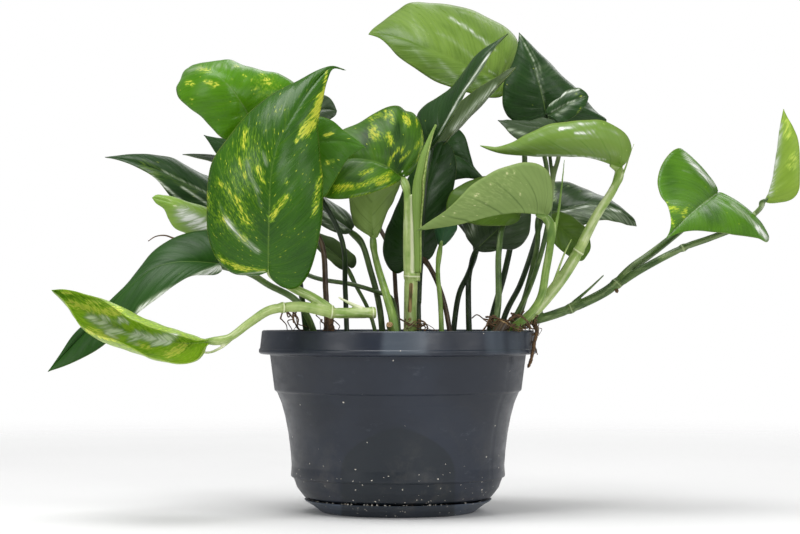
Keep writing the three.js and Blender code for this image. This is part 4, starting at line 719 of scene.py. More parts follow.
        dict(radius=(3.1, 3.3), cut=True, path=[(44, ROOTED, -42), (52, 92, -42), (57.5, 101.5, -40)]),
    ]),
}

# ---- curves and meshes -------------------------------------------------------------------------------

CURVE_STEPS = 16  # between two points that a curve runs through
UPPER_SIDE = np.array([0.0, -0.5, 0.87])  # sections are drawn with their top facing this way


def unit(vectors):
    """The same directions at length one."""
    return vectors / (np.linalg.norm(vectors, axis=-1, keepdims=True) + 1e-12)


def smoothstep(low, high, value):
    """0 below low, 1 above high and a smooth rise between."""
    share = np.clip((value - low) / (high - low), 0, 1)
    return share * share * (3 - 2 * share)


def bell(distance, reach):
    """1 at no distance, falling smoothly to about a third at the reach and to nothing beyond it."""
    return np.exp(-((distance / reach) ** 2))


def run_lengths(line):
    """How far along a line of points each of them lies."""
    return np.concatenate([[0], np.cumsum(np.linalg.norm(np.diff(line, axis=0), axis=1))])


def points_along(line, distances):
    """Points on a line of points, at these distances from its start."""
    lengths = run_lengths(line)
    return np.stack([np.interp(distances, lengths, line[:, k]) for k in range(3)], 1)


def smooth_path(points, shares):
    """Points on a smooth curve through the given ones, at these shares (0 to 1) of its length."""
    points = np.asarray(points, float)
    steps = np.diff(points, axis=0)
    steps = np.vstack([steps[:1], steps, steps[-1:]])
    gaps = np.linalg.norm(steps, axis=1)[:, None] ** 0.5
    slopes = steps / gaps
    tangents = (slopes[:-1] * gaps[1:] + slopes[1:] * gaps[:-1]) / (gaps[:-1] + gaps[1:])
    u = np.linspace(0, 1, CURVE_STEPS + 1)[1:, None]
    pieces = [points[:1]]
    for i, gap in enumerate(gaps[1:-1]):
        pieces.append((2 * u**3 - 3 * u**2 + 1) * points[i] + (u**3 - 2 * u**2 + u) * gap * tangents[i]
                      + (3 * u**2 - 2 * u**3) * points[i + 1] + (u**3 - u**2) * gap * tangents[i + 1])
    curve = np.vstack(pieces)
    return points_along(curve, np.asarray(shares) * run_lengths(curve)[-1])


def path_length(points):
    """Length of the smooth curve through the points."""
    return float(run_lengths(smooth_path(points, np.linspace(0, 1, 65)))[-1])


def stroke_amount(seen, strokes):
    """How strongly the strokes mark each place (across, up)."""
    total = np.zeros(len(seen))
    for radius, strength, *stops in strokes:
        stops = np.array(stops, float)
        nearest = np.linalg.norm(seen - stops[0], axis=1)
        for start, end in zip(stops, stops[1:]):
            run = end - start
            share = np.clip((seen - start) @ run / (run @ run), 0, 1)
            nearest = np.minimum(nearest, np.linalg.norm(seen - start - share[:, None] * run, axis=1))
        total += strength * bell(nearest, radius)
    return total


def section_frames(centres):
    """Tangent and the two directions across it at each point of a path."""
    tangent = unit(np.gradient(centres, axis=0))
    normal = unit(UPPER_SIDE - (tangent @ UPPER_SIDE)[:, None] * tangent)
    return tangent, normal, np.cross(tangent, normal)


def swept(centres, reach, angle):
    """Rows of points round a path, each this far from it and at this angle."""
    _, normal, binormal = section_frames(centres)
    return (centres[:, None] + (reach * np.cos(angle))[..., None] * normal[:, None]
            + (reach * np.sin(angle))[..., None] * binormal[:, None])


def grid_quads(index, flipped=False):
    """The quads of a grid of point numbers."""
    a, b, c, d = index[:-1, :-1], index[1:, :-1], index[1:, 1:], index[:-1, 1:]
    corners = (a, d, c, b) if flipped else (a, b, c, d)
    return np.stack([corner.ravel() for corner in corners], 1)


def vertex_normals(points, quads):
    """Normal at each point of a sheet of quads, where an edge may have no length."""
    a, b, c, d = (points[quads[:, k]] for k in range(4))
    flat = np.cross(c - a, d - b)
    normals = np.zeros_like(points)
    for k in range(4):
        np.add.at(normals, quads[:, k], flat)
    return unit(normals)


def mesh_of(name, vertices, faces, materials=(), face_materials=None):
    """A smooth-shaded mesh with these materials."""
    mesh = bpy.data.meshes.new(name)
    mesh.from_pydata(np.asarray(vertices).tolist(), [], faces)
    for material in materials:
        mesh.materials.append(material)
    if face_materials is not None:
        mesh.polygons.foreach_set("material_index", face_materials)
    mesh.shade_smooth()
    mesh.validate()
    return mesh


def closed_sheet(name, top, bottom, quads, border, materials):
    """A thin body: its upper face and its rim in the first material, and its lower face in the last."""
    beneath = len(top)
    after = np.roll(border, -1)
    rim = np.stack([border, after, after + beneath, border + beneath], 1)
    corners = np.vstack([quads, quads[:, ::-1] + beneath, rim])
    faces = [tuple(dict.fromkeys(face)) for face in corners.tolist()]
    kinds = np.zeros(len(faces), np.int32)
    kinds[len(quads):2 * len(quads)] = len(materials) - 1
    return mesh_of(name, np.vstack([top, bottom]), faces, materials, kinds)


def closed_tube(rings, foot, head):
    """Vertices and faces of rings of points, rows by sides, closed by a point at each end."""
    rows, sides, _ = rings.shape
    vertices = np.vstack([rings.reshape(-1, 3), [foot, head]])
    number = np.arange(rows * sides).reshape(rows, sides)
    after = np.roll(number, -1, axis=1)
    walls = np.stack([number[:-1], after[:-1], after[1:], number[1:]], 2)
    faces = walls.reshape(-1, 4).tolist()
    for k in range(sides):
        faces.append((rows * sides, int(after[0, k]), int(number[0, k])))
        faces.append((rows * sides + 1, int(number[-1, k]), int(after[-1, k])))
    return vertices, faces


def joined(bodies):
    """Several bodies' vertices and faces as one list each."""
    vertices, faces, start = [], [], 0
    for points, polygons in bodies:
        vertices.append(points)
        faces.extend([tuple(corner + start for corner in polygon) for polygon in polygons])
        start += len(points)
    return np.vstack(vertices), faces


def placed(name, data):
    """A new object in the scene."""
    holder = bpy.data.objects.new(name, data)
    bpy.context.scene.collection.objects.link(holder)
    return holder


def with_modifiers(holder):
    """The mesh that an object's modifiers make."""
    depsgraph = bpy.context.evaluated_depsgraph_get()
    return bpy.data.meshes.new_from_object(holder.evaluated_get(depsgraph))


def discard(*holders):
    """Takes objects and their meshes out again."""
    for holder in holders:
        mesh = holder.data
        bpy.data.objects.remove(holder)
        bpy.data.meshes.remove(mesh)


def store(mesh, name, values):
    """Numbers or vectors at the mesh's points, for its material to read."""
    values = np.asarray(values, np.float32)
    kind, field = ("FLOAT", "value") if values.ndim == 1 else ("FLOAT_VECTOR", "vector")
    mesh.attributes.new(name, kind, "POINT").data.foreach_set(field, values.ravel())


def add_piece(name, mesh, node=None):
    """A piece of the plant on the root body; one that stands for a CAD node hides that node."""
    piece = placed(name, mesh)
    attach(piece, "root")
    if node:
        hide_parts(node)


# ---- materials ---------------------------------------------------------------------------------------


class Shader:
    """A material under construction, with short ways to add its nodes."""

    def __init__(self, name):
        self.material = bpy.data.materials.new(name)
        self.material.use_nodes = True
        self.tree = self.material.node_tree
        self.tree.nodes.clear()

    def node(self, kind, inputs=(), **settings):
        """A node with its settings, and its inputs given as pairs of socket and value or link."""
        node = self.tree.nodes.new("ShaderNode" + kind)
        for key, value in settings.items():
            setattr(node, key, value)
        for key, value in dict(inputs).items():
            if isinstance(value, bpy.types.NodeSocket):
                self.tree.links.new(value, node.inputs[key])
            else:
                node.inputs[key].default_value = value
        return node

    def math(self, operation, a, b=0.0, clamp=False):
        return self.node("Math", {0: a, 1: b}, operation=operation, use_clamp=clamp).outputs[0]

    def times(self, a, b):
        return self.math("MULTIPLY", a, b)

    def plus(self, a, b):
        return self.math("ADD", a, b)

    def most(self, first, *others):
        """The largest of the values."""
        for other in others:
            first = self.math("MAXIMUM", first, other)
        return first

    def between(self, value, low, high, start=0.0, end=1.0):
        """start where value is below low, end above high, and a smooth step between."""
        inputs = {"Value": value, "From Min": low, "From Max": high, "To Min": start, "To Max": end}
        return self.node("MapRange", inputs, interpolation_type="SMOOTHSTEP").outputs["Result"]

    def mix(self, share, a, b):
        return self.node("Mix", {"Factor": share, 6: a, 7: b}, data_type="RGBA").outputs[2]

    def tint(self, colour, other, value, low, high, start=0.0, end=1.0):
        """The colour turned into the other, by a share that goes from start to end with the value."""
        return self.mix(self.between(value, low, high, start, end), colour, other)

    def attribute(self, name, output="Vector"):
        return self.node("Attribute", attribute_name=name, attribute_type="GEOMETRY").outputs[output]

    def place(self):
        """The place on the piece, in metres."""
        return self.node("TexCoord").outputs["Object"]

    def stretched(self, vector, scale):
        return self.node("VectorMath", {0: vector, 1: scale}, operation="MULTIPLY").outputs[0]

    def length(self, vector):
        return self.node("VectorMath", {0: vector}, operation="LENGTH").outputs["Value"]

    def parts(self, vector):
        return self.node("SeparateXYZ", {0: vector}).outputs

    def noise(self, vector, scale, detail=3.0, roughness=0.55, distortion=0.0):
        inputs = {"Vector": vector, "Scale": scale, "Detail": detail, "Roughness": roughness,
                  "Distortion": distortion}
        return self.node("TexNoise", inputs).outputs["Fac"]

    def cells(self, vector, scale):
        """Scattered spots: a chance for each, and the distance from its middle."""
        spots = self.node("TexVoronoi", {"Vector": vector, "Scale": scale}).outputs
        return self.parts(spots["Color"])[0], spots["Distance"]

    def bump(self, height, distance, strength=1.0, under=None):
        inputs = {"Height": height, "Distance": distance, "Strength": strength}
        if under is not None:
            inputs["Normal"] = under
        return self.node("Bump", inputs).outputs["Normal"]

    def finish(self, **inputs):
        """The surface with these inputs, written with _ for the spaces in their names."""
        named = {key.replace("_", " "): value for key, value in inputs.items()}
        surface = self.node("BsdfPrincipled", named)
        output = self.node("OutputMaterial")
        self.tree.links.new(surface.outputs[0], output.inputs[0])
        return self.material


# ---- leaf skin ---------------------------------------------------------------------------------------

VEIN_GREEN = rgb(118, 148, 62)  # of the midrib
MARGIN_GREEN = rgb(128, 140, 62)
# Painted gloss: a grey sheen where its strokes are weak, white highlights where they are strong.
HIGHLIGHT_GREY = rgb(158, 174, 142)
HIGHLIGHT_WHITE = rgb(252, 254, 250)
FLECK_STRETCH = (1.3, 1.7, 1.0)  # makes the small flecks longer than they are wide


def variegated(shader, look, colour, vein_space, grain, cloud, pale):
    """Yellow flecks with a lime halo: broad ones where pale marks them, and small ones strewn about."""
    edge = 0.97 - 0.15 * look["flecks"]
    field = shader.plus(shader.plus(grain, shader.times(pale, 0.17)), shader.times(cloud, 0.2))
    patches = shader.times(pale, shader.between(grain, 0.38, 0.64, 0.35, 1.65))
    chance, distance = shader.cells(shader.stretched(vein_space, FLECK_STRETCH), 3.6)
    chance = shader.plus(chance, shader.times(pale, 0.1))
    chosen = shader.math("GREATER_THAN", chance, 1 - 0.07 * look["flecks"])
    dots = shader.times(chosen, shader.between(distance, 0.08, 0.3, 1.0, 0.0))
    halo = shader.most(shader.between(field, edge - 0.05, edge, 0.0, 0.5),
                       shader.between(patches, 0.15, 0.6, 0.0, 0.85),
                       shader.between(dots, 0.0, 0.4, 0.0, 0.5))
    core = shader.most(shader.between(field, edge, edge + 0.04, 0.0, 0.85),
                       shader.between(patches, 0.72, 1.15, 0.0, 0.95),
                       shader.between(dots, 0.5, 0.9, 0.0, 0.9))
    return shader.mix(core, shader.mix(halo, colour, look["lime"]), look["fleck"])


def veined(shader, look, colour, out, along, phase, fine_vein, underside):
    """Side veins, the fine veins between them, the midrib and the pale margin."""
    fading = shader.between(out, 0.3, 0.98, 0.6 if underside else 0.16, 0.0)
    side_vein = shader.between(shader.math("PINGPONG", phase, 0.5), 0.01, 0.06, 1.0, 0.0)
    colour = shader.mix(shader.times(side_vein, fading), colour, look["deep" if underside else "lime"])
    colour = shader.tint(colour, look["deep"], fine_vein, 0.04, 0.3, 0.1 if underside else 0.2, 0.0)
    midrib = shader.times(shader.between(out, 0.004, 0.018, 0.45, 0.0),
                          shader.between(along, 0.1, 0.9, 1.0, 0.15))
    colour = shader.mix(midrib, colour, VEIN_GREEN)
    return shader.tint(colour, MARGIN_GREEN, out, 0.98, 0.997, 0.0, 0.45)


def leaf_material(name, look, underside=False):
    """A waxy leaf face: two greens, yellow variegation, veins, painted shade, and a painted grey sheen with
    white highlights.
    """
    shader = Shader(name)
    vein_space = shader.attribute("vein_space")
    across, along, phase = shader.parts(shader.attribute("blade_space"))
    # The strokes: yellow variegation, painted shade and shadow, and a painted sheen of gloss with some real
    # pale lines.
    pale, shade, sheen_and_pale_lines = (shader.attribute(kind, "Fac") for kind in STROKE_KINDS)
    out = shader.math("ABSOLUTE", across)
    streaks = shader.noise(shader.stretched(vein_space, (0.5, 1.9, 1.0)), 2.6, 4.0, 0.6, 0.25)
    grain = shader.noise(shader.stretched(vein_space, (1.7, 2.2, 1.0)), 3.4, 3.0, 0.5)
    cloud = shader.noise(vein_space, 0.6, 2.0)
    phase = shader.plus(phase, shader.times(shader.noise(vein_space, 1.3), 0.2))
    fine_vein = shader.math("PINGPONG", shader.times(phase, 4.0), 0.5)

    # The greens vary at random; the shade strokes paint shade and shadow by deepening them.
    depth = shader.math("SUBTRACT", shader.between(cloud, 0.3, 0.6, 0.5, 1.0), shade, clamp=True)
    colour = shader.mix(depth, look["deep"], look["green"])
    colour = shader.tint(colour, look["green"], streaks, 0.4, 0.7, 0.0, 0.35)
    if underside:
        colour = shader.tint(colour, look["under"], cloud, 0.3, 0.7, 0.65, 0.95)
    colour = variegated(shader, look, colour, vein_space, grain, cloud, pale)
    colour = veined(shader, look, colour, out, along, phase, fine_vein, underside)
    # Painted grey sheen and white highlights of gloss, broken along the veins.
    highlight_share = shader.times(sheen_and_pale_lines, shader.between(streaks, 0.34, 0.66, 0.6, 1.3))
    highlight_colour = shader.tint(HIGHLIGHT_GREY, HIGHLIGHT_WHITE, highlight_share, 0.5, 1.9)
    colour = shader.tint(colour, highlight_colour, highlight_share, 0.12, 1.4, 0.0, 0.9)

    height = shader.plus(shader.times(grain, 0.5), fine_vein)
    normal = shader.bump(height, 0.0001, 0.35, shader.bump(streaks, 0.0005, 0.25))
    gloss = look["gloss"] + (0.12 if underside else 0.0)
    wax = shader.between(streaks, 0.3, 0.7, gloss - 0.05, gloss + 0.09)
    return shader.finish(Base_Color=colour, Roughness=wax, Normal=normal, IOR=1.45, Specular_IOR_Level=0.3)


# ---- stalk skin --------------------------------------------------------------------------------------
# Each stalk's light and dark green, and the colour of its pale streaks. The darker sets carry painted
# shade: stalk_dark for the stalks at the back, and stalk_mid partly so.

STALK_COLOURS = {
    "stalk_light": (rgb(184, 200, 130), rgb(116, 148, 62), rgb(232, 234, 200)),
    "stalk_fresh": (rgb(140, 168, 82), rgb(84, 118, 44), rgb(198, 212, 150)),
    "stalk_mid": (rgb(96, 122, 62), rgb(52, 78, 34), rgb(164, 182, 128)),
    "stalk_dark": (rgb(44, 66, 32), rgb(24, 40, 20), rgb(90, 112, 62)),
    "stalk_brown": (rgb(86, 68, 46), rgb(48, 37, 27), rgb(136, 118, 86)),
}
SCAR_DARK = rgb(70, 48, 28)
SCAR_LIGHT = rgb(154, 124, 80)


def stalk_material(name, light, dark, streak):
    """A smooth fleshy stalk with faint streaks along it, brown scars and pale lines, partly painted
    highlights.
    """
    shader = Shader(name)
    space = shader.attribute("stem_space")
    drawn_out = shader.stretched(space, (1.0, 1.0, 0.12))
    streaks = shader.noise(drawn_out, 7.0, 3.0, 0.5)
    specks = shader.noise(space, 24.0, 2.0)
    colour = shader.tint(dark, light, shader.noise(space, 0.8, 3.0), 0.3, 0.7)
    colour = shader.tint(colour, dark, streaks, 0.36, 0.66, 0.3, 0.0)
    colour = shader.tint(colour, streak, streaks, 0.5, 0.74, 0.0, 0.4)
    colour = shader.tint(colour, streak, specks, 0.66, 0.76, 0.0, 0.06)
    # Pale skin at the node rings and along the pale strokes, which are partly painted highlights.
    colour = shader.tint(colour, streak, shader.attribute("pale", "Fac"), 0.15, 0.9, 0.0, 0.8)
    ragged = shader.times(shader.noise(drawn_out, 14.0, 4.0), 0.6)
    scarred = shader.between(shader.plus(shader.attribute("scar", "Fac"), ragged), 0.68, 0.95, 0.0, 0.9)
    colour = shader.mix(scarred, colour, shader.tint(SCAR_DARK, SCAR_LIGHT, streaks, 0.4, 0.62))
    normal = shader.bump(streaks, 0.00012, 0.3, shader.bump(specks, 0.00003, 0.3))
    roughness = shader.between(scarred, 0.0, 1.0, 0.36, 0.85)
    return shader.finish(Base_Color=colour, Roughness=roughness, Normal=normal, IOR=1.42,
                         Specular_IOR_Level=0.45)


def dry_material():
    """Dry brown root or sheath skin with fine length-wise wrinkles."""
    shader = Shader("dry_skin")
    space = shader.attribute("stem_space")
    wrinkles = shader.noise(shader.stretched(space, (1.0, 1.0, 0.2)), 22.0, 4.0, 0.65)
    colour = shader.tint(rgb(50, 34, 22), rgb(120, 92, 60), wrinkles, 0.35, 0.65)
    colour = shader.tint(colour, rgb(84, 62, 38), shader.noise(space, 3.0), 0.5, 0.7, 0.0, 0.6)
    normal = shader.bump(wrinkles, 0.0004, 0.8)
    return shader.finish(Base_Color=colour, Normal=normal,
                         Roughness=shader.between(wrinkles, 0.3, 0.7, 0.7, 0.95))


def cut_material():
    """A sawn or torn stem end: dry beige pith with rings and cracks."""
    shader = Shader("cut_end")
    space = shader.attribute("stem_space")
    radius = shader.length(shader.stretched(space, (1.0, 1.0, 0.0)))
    wobbly = shader.plus(radius, shader.times(shader.noise(space, 6.0), 0.10))
    rings = shader.math("PINGPONG", shader.times(wobbly, 14.0), 0.5)
    cracks = shader.noise(space, 30.0, 4.0, 0.7)
    colour = shader.tint(rgb(120, 88, 52), rgb(186, 156, 108), rings, 0.1, 0.4)
    colour = shader.tint(colour, rgb(58, 38, 22), cracks, 0.36, 0.5, 0.8, 0.0)
    normal = shader.bump(cracks, 0.0004, 0.9)
    return shader.finish(Base_Color=colour, Normal=normal,
                         Roughness=shader.between(cracks, 0.3, 0.7, 0.95, 0.75))


# ---- plastic, soil and floor -------------------------------------------------------------------------

REFLECTION_HALF_WIDTH = 30.3 * MM  # of the painted dark reflection, a dome on the front of the pot's side
REFLECTION_HEIGHTS = (18.6 * MM, 51 * MM)  # its foot and its top
BAND_HEIGHTS = (84.5 * MM, 86.5 * MM)  # where the rim band and its painted upright highlight streaks begin
SPLASH_HEIGHTS = (2 * MM, 46 * MM)  # specks of soil lie thickest low down, and are rare above
FILM_HEIGHTS = (4 * MM, 50 * MM)  # and so is the film of dust
SPECKS = ((430.0, 0.97, 0.22), (820.0, 0.95, 0.3))  # specks to a metre, share left out low down, size
RARE = 0.9982  # share left out high up
FLOOR_FADE = (0.35, 1.1)  # metres from the pot, where the floor begins and ends to fade


def painted_reflection_dome(shader, x, y, height):
    """Where the painted dark reflection lies on the pot's side facing the front: a dome that ends softly."""
    aside = shader.math("POWER", shader.math("ABSOLUTE", shader.math("DIVIDE", x, REFLECTION_HALF_WIDTH)), 2.0)
    above = shader.math("POWER", shader.between(height, *REFLECTION_HEIGHTS), 2.0)
    inside = shader.between(shader.plus(aside, above), 0.9, 1.01, 0.7, 0.0)
    return shader.times(inside, shader.math("LESS_THAN", y, 0.0))


def speckled(shader, colour, place, height):
    """Ragged specks of dust and soil on the plastic."""
    ragged = shader.noise(place, 1500.0, 3.0, 0.7)
    for scale, left_out, size in SPECKS:
        chance, distance = shader.cells(place, scale)
        few = shader.between(height, *SPLASH_HEIGHTS, left_out, RARE)
        reach = shader.between(ragged, 0.3, 0.7, 0.2 * size, 1.5 * size)
        speck = shader.times(shader.math("GREATER_THAN", chance, few),
                             shader.math("LESS_THAN", distance, reach))
        colour = shader.mix(speck, colour, shader.mix(chance, rgb(96, 84, 70), rgb(206, 200, 188)))
    return colour


def pot_material(name, dark, light):
    """Dark blue-grey moulded plastic, half glossy and finely grained.

    It has rubbed spots, a painted dark reflection shaped as a dome on its front, painted upright highlight
    streaks on the rim band, and a film and specks of dust that get thicker low down.
    """
    shader = Shader(name)
    place = shader.place()
    x, y, height = shader.parts(place)
    cloud = shader.noise(place, 22.0, 3.0)
    rubbed = shader.noise(shader.stretched(place, (1.0, 1.0, 2.4)), 80.0, 5.0, 0.7)
    upright_highlight_noise = shader.noise(shader.stretched(place, (1.0, 1.0, 0.12)), 46.0, 2.0, 0.4)
    colour = shader.tint(dark, light, cloud, 0.35, 0.7)
    colour = shader.tint(colour, rgb(100, 106, 116), rubbed, 0.58, 0.8, 0.0, 0.3)
    # A painted dark reflection, shaped as a dome, on the front of the side.
    colour = shader.mix(painted_reflection_dome(shader, x, y, height), colour, rgb(22, 30, 36))
    # Painted highlights: upright streaks of reflected light on the rim band.
    streaks = shader.times(shader.between(height, *BAND_HEIGHTS),
                           shader.between(upright_highlight_noise, 0.5, 0.68, 0.0, 0.5))
    colour = shader.mix(streaks, colour, rgb(92, 102, 112))
    film = shader.times(shader.between(shader.noise(place, 40.0, 5.0, 0.7), 0.5, 0.75),
                        shader.between(height, *FILM_HEIGHTS, 0.22, 0.03))
    colour = speckled(shader, shader.mix(film, colour, rgb(126, 120, 108)), place, height)
    skin = shader.noise(place, 900.0, 2.0)
    normal = shader.bump(skin, 0.00003, 0.4, shader.bump(cloud, 0.0005, 0.3))
    return shader.finish(Base_Color=colour, Normal=normal, IOR=1.5, Specular_IOR_Level=0.42,
                         Roughness=shader.between(rubbed, 0.35, 0.7, 0.3, 0.42))


def soil_material(name, dark, light, scale):
    """Peat, bark or perlite: a crumbly matte surface."""
    shader = Shader(name)
    crumbs = shader.noise(shader.place(), scale, 6.0, 0.7)
    colour = shader.tint(dark, light, crumbs, 0.35, 0.68)
    normal = shader.bump(crumbs, 0.0012, 0.9)
    return shader.finish(Base_Color=colour, Normal=normal,
                         Roughness=shader.between(crumbs, 0.3, 0.7, 0.98, 0.8))


def floor_material():
    """A pale, nearly even studio floor that fades into the white around it."""
    shader = Shader("studio_floor")
    place = shader.place()
    cloud = shader.noise(place, 3.0, 3.0)
    colour = shader.mix(cloud, rgb(232, 232, 232), rgb(238, 238, 238))
    solid = shader.between(shader.length(place), *FLOOR_FADE, 1.0, 0.0)
    return shader.finish(Base_Color=colour, Roughness=shader.between(cloud, 0.3, 0.7, 0.7, 0.8), Alpha=solid)


# ---- leaf blades -------------------------------------------------------------------------------------

LOBE_NOTCH = 0.03  # share of the half margin hidden in the notch at the joint
ROW_CROWDING = 1.7  # how much the mesh rows crowd towards the joint, at the midrib
ROW_BEND = 1.25  # how much a mesh row bends towards the tip
ROW_STEP = 1.35 * MM  # between mesh rows at the margin
FEWEST_ROWS = 40
COLUMNS = 18  # mesh columns from the midrib to the margin
COLUMN_CROWDING = 1.3  # how much the columns crowd towards the midrib
VEIN_SPACING = 15 * MM  # between side veins at the margin
VEIN_COUNTS = (5, 12)  # fewest and most side veins on a half
VEIN_CROWDING = 2.9  # how much the side veins crowd towards the joint, at the midrib

BLADE_THICKNESS = 0.46 * MM
MARGIN_THICKNESS = 0.26 * MM
CHANNEL_DEPTH = 0.4 * MM  # of the groove above the midrib
CHANNEL_WIDTH = 1.1 * MM
RIDGE_HEIGHT = 0.9 * MM  # of the midrib below the blade, at the joint
VEIN_DEPTH = 0.12 * MM  # of the grooves above the side veins
VEIN_WIDTH = 0.13  # as a share of the way to the next side vein
QUILT_HEIGHT = 0.12 * MM  # how far the blade swells between side veins
QUILT_WIDTH = 12 * MM  # a half narrower than this swells less
RIPPLES = (2.3, 4.1, 7.3)  # waves along a half's margin
PETIOLE_RUN = (0.0, 2.0 * MM, 5.5 * MM)  # along the midrib, where the petiole fades into it


class Blade:
    """A leaf's sheet of points: rows along its side veins, each from the midrib to the margin."""

    def __init__(self, name, leaf):
        self.name = name
        self.leaf = leaf
        self.random = random.Random(name)
        path = places(leaf["midrib"])
        outlines = [np.vstack([path[:1], places(leaf[half]), path[-1:]]) for half in ("left", "right")]
        self.margin_length = max(path_length(outline) for outline in outlines)
        self.rows = max(FEWEST_ROWS, round(self.margin_length / ROW_STEP))
        self.veins = int(np.clip(round(self.margin_length / VEIN_SPACING), *VEIN_COUNTS))
        self.t = np.linspace(0, 1, self.rows + 1)
        self.v = np.linspace(0, 1, COLUMNS + 1) ** COLUMN_CROWDING
        self.midrib = smooth_path(path, self.t**ROW_CROWDING)
        self.margins = [smooth_path(outline, LOBE_NOTCH + (1 - LOBE_NOTCH) * self.t) for outline in outlines]
        self.widths = [np.linalg.norm(margin - self.midrib, axis=1) for margin in self.margins]

    def half(self, side):
        """Points of one half, rows by columns."""
        rib = self.margins[side] - self.midrib
        tangent = unit(np.gradient(self.midrib, axis=0))
        up = unit(np.cross(tangent, rib) if side == 0 else np.cross(rib, tangent))
        v = self.v[None, :, None]
        lean = np.sum(rib * tangent, 1)[:, None, None] * tangent[:, None, :]
        bow = self.leaf.get("bow", BOW)[side] * self.widths[side][:, None, None] * 4 * v * (1 - v)
        return self.midrib[:, None, :] + rib[:, None, :] * v + lean * (v**ROW_BEND - v) + up[:, None, :] * bow

    def relief(self, side):
        """How far the sheet rises at each row and column, in metres: channel, veins, quilting and waves."""
        t = self.t[:, None]
        v = self.v[None, :]
        width = self.widths[side][:, None]
        phase = self.vein(v, t) * self.veins + 0.5 * side
        off_vein = np.abs(phase - np.round(phase))
        fade = smoothstep(0.0, 0.18, v) * smoothstep(1.0, 0.8, v) * np.minimum(1, width / QUILT_WIDTH)
        channel = -CHANNEL_DEPTH * bell(v * width, CHANNEL_WIDTH) * (1 - 0.6 * t)
        grooves = -VEIN_DEPTH * bell(off_vein, VEIN_WIDTH) * fade
        quilting = QUILT_HEIGHT * 4 * off_vein * (1 - off_vein) * fade
        turns = [self.random.uniform(0, 2 * math.pi) for _ in RIPPLES]
        waves = sum(np.sin(2 * math.pi * count * t + turn) / count for count, turn in zip(RIPPLES, turns))
        reach = 2.0 * self.leaf.get("wave", WAVE) * MM * v**2 * np.sin(math.pi * t).clip(0) ** 0.5
        return channel + grooves + quilting + waves * reach

    @staticmethod
    def vein(v, t):
        """Which side vein runs through a place: the share of the margin at which that vein ends."""
        crowding = ROW_CROWDING / VEIN_CROWDING
        return t ** (crowding + (1 - crowding) * v)

    def spaces(self, side, v, t, width):
        """Places on the flat blade for its material: as shares with the vein's number, and in centimetres."""
        sign = 1 if side else -1
        vein = self.vein(v, t)
        shares = np.stack([sign * v, t, vein * self.veins + 0.5 * side], 1)
        return shares, np.stack([sign * v * width, vein * self.margin_length, 0 * v], 1) / CM

    def grid(self, side):
        """The numbers of one half's points, rows by columns; its first column is the midrib."""
        inner = self.rows * COLUMNS
        index = np.empty((self.rows + 1, COLUMNS + 1), int)
        index[:, 0] = np.arange(self.rows + 1)
        index[:-1, 1:] = np.arange(inner).reshape(self.rows, COLUMNS) + self.rows + 1 + side * inner
        index[-1, 1:] = self.rows  # every vein ends at the tip
        return index

    def sheet(self):
        """The blade's points, how far each rises, and its places in both of the material's spaces."""
        zero = np.zeros(self.rows + 1)
        rise = 0.5 * (self.relief(0)[:, 0] + self.relief(1)[:, 0])
        parts = [(self.midrib, rise, *self.spaces(0, zero, self.t, zero))]
        v = np.tile(self.v[1:], self.rows)
        t = np.repeat(self.t[:-1], COLUMNS)
        for side in (0, 1):
            points = self.half(side)[:-1, 1:].reshape(-1, 3)
            rise = self.relief(side)[:-1, 1:].ravel()
            width = np.repeat(self.widths[side][:-1], COLUMNS)
            parts.append((points, rise, *self.spaces(side, v, t, width)))
        return [np.concatenate(part) for part in zip(*parts)]

    def mesh(self, upper, under):
        """The closed blade: both faces and the rim between them."""
        points, rise, shares, spread = self.sheet()
        spread[:, 2] = self.random.uniform(0, 50)
        left, right = self.grid(0), self.grid(1)
        quads = np.vstack([grid_quads(left), grid_quads(right, flipped=True)])
        points = points + vertex_normals(points, quads) * rise[:, None]
        normals = vertex_normals(points, quads)

        out, along = np.abs(shares[:, 0]), shares[:, 1]
        half_thickness = (MARGIN_THICKNESS + (BLADE_THICKNESS - MARGIN_THICKNESS) * (1 - out**3)) / 2
        ridge = RIDGE_HEIGHT * bell(spread[:, 0] * CM, CHANNEL_WIDTH) * (1 - along) ** 0.7
        ridge = ridge * smoothstep(0.0, 0.02, 1 - along)
        top = points + normals * half_thickness[:, None]
        bottom = points - normals * (half_thickness + ridge)[:, None]
        self.under_midrib = points_along(bottom[:self.rows + 1], PETIOLE_RUN)

        border = np.concatenate([[0], left[0, 1:], left[1:-1, -1], [self.rows], right[1:-1, -1][::-1],
                                 right[0, 1:][::-1]])
        mesh = closed_sheet(self.name + "_blade", top, bottom, quads, border, [upper, under])
        store(mesh, "blade_space", np.tile(shares, (2, 1)))
        store(mesh, "vein_space", np.tile(spread, (2, 1)))
        seen = seen_at(np.vstack([top, bottom]))
        for kind in STROKE_KINDS:
            store(mesh, kind, stroke_amount(seen, self.leaf.get(kind, ())))
        return mesh


# ---- the rolled young leaf ---------------------------------------------------------------------------

ROLLED_PATH = [(10.6, 128.5, -38.2), (10.6, 140, -39.2), (10.4, 152, -40.4), (10.4, 164, -41.8),
               (11.0, 175, -43), (12.3, 183, -44.6), (14.0, 191, -45.2), (16.2, 198, -44.6),
               (18.4, 204, -43.7), (20.5, 208.5, -43)]
ROLLED_RADII = (1.7, 2.0, 2.0, 2.2, 3.1, 3.6, 3.0, 2.2, 1.2, 0.2)  # mm, along the path
ROLLED_TURNS = 1.45
ROLLED_TIGHTNESS = 0.42  # share of the radius lost from the outer edge of the roll to the inner
ROLLED_GRID = (56, 48)  # mesh rows along and columns round
PALE_EDGE = -0.94  # the outer edge, from -1, is pale as far as this


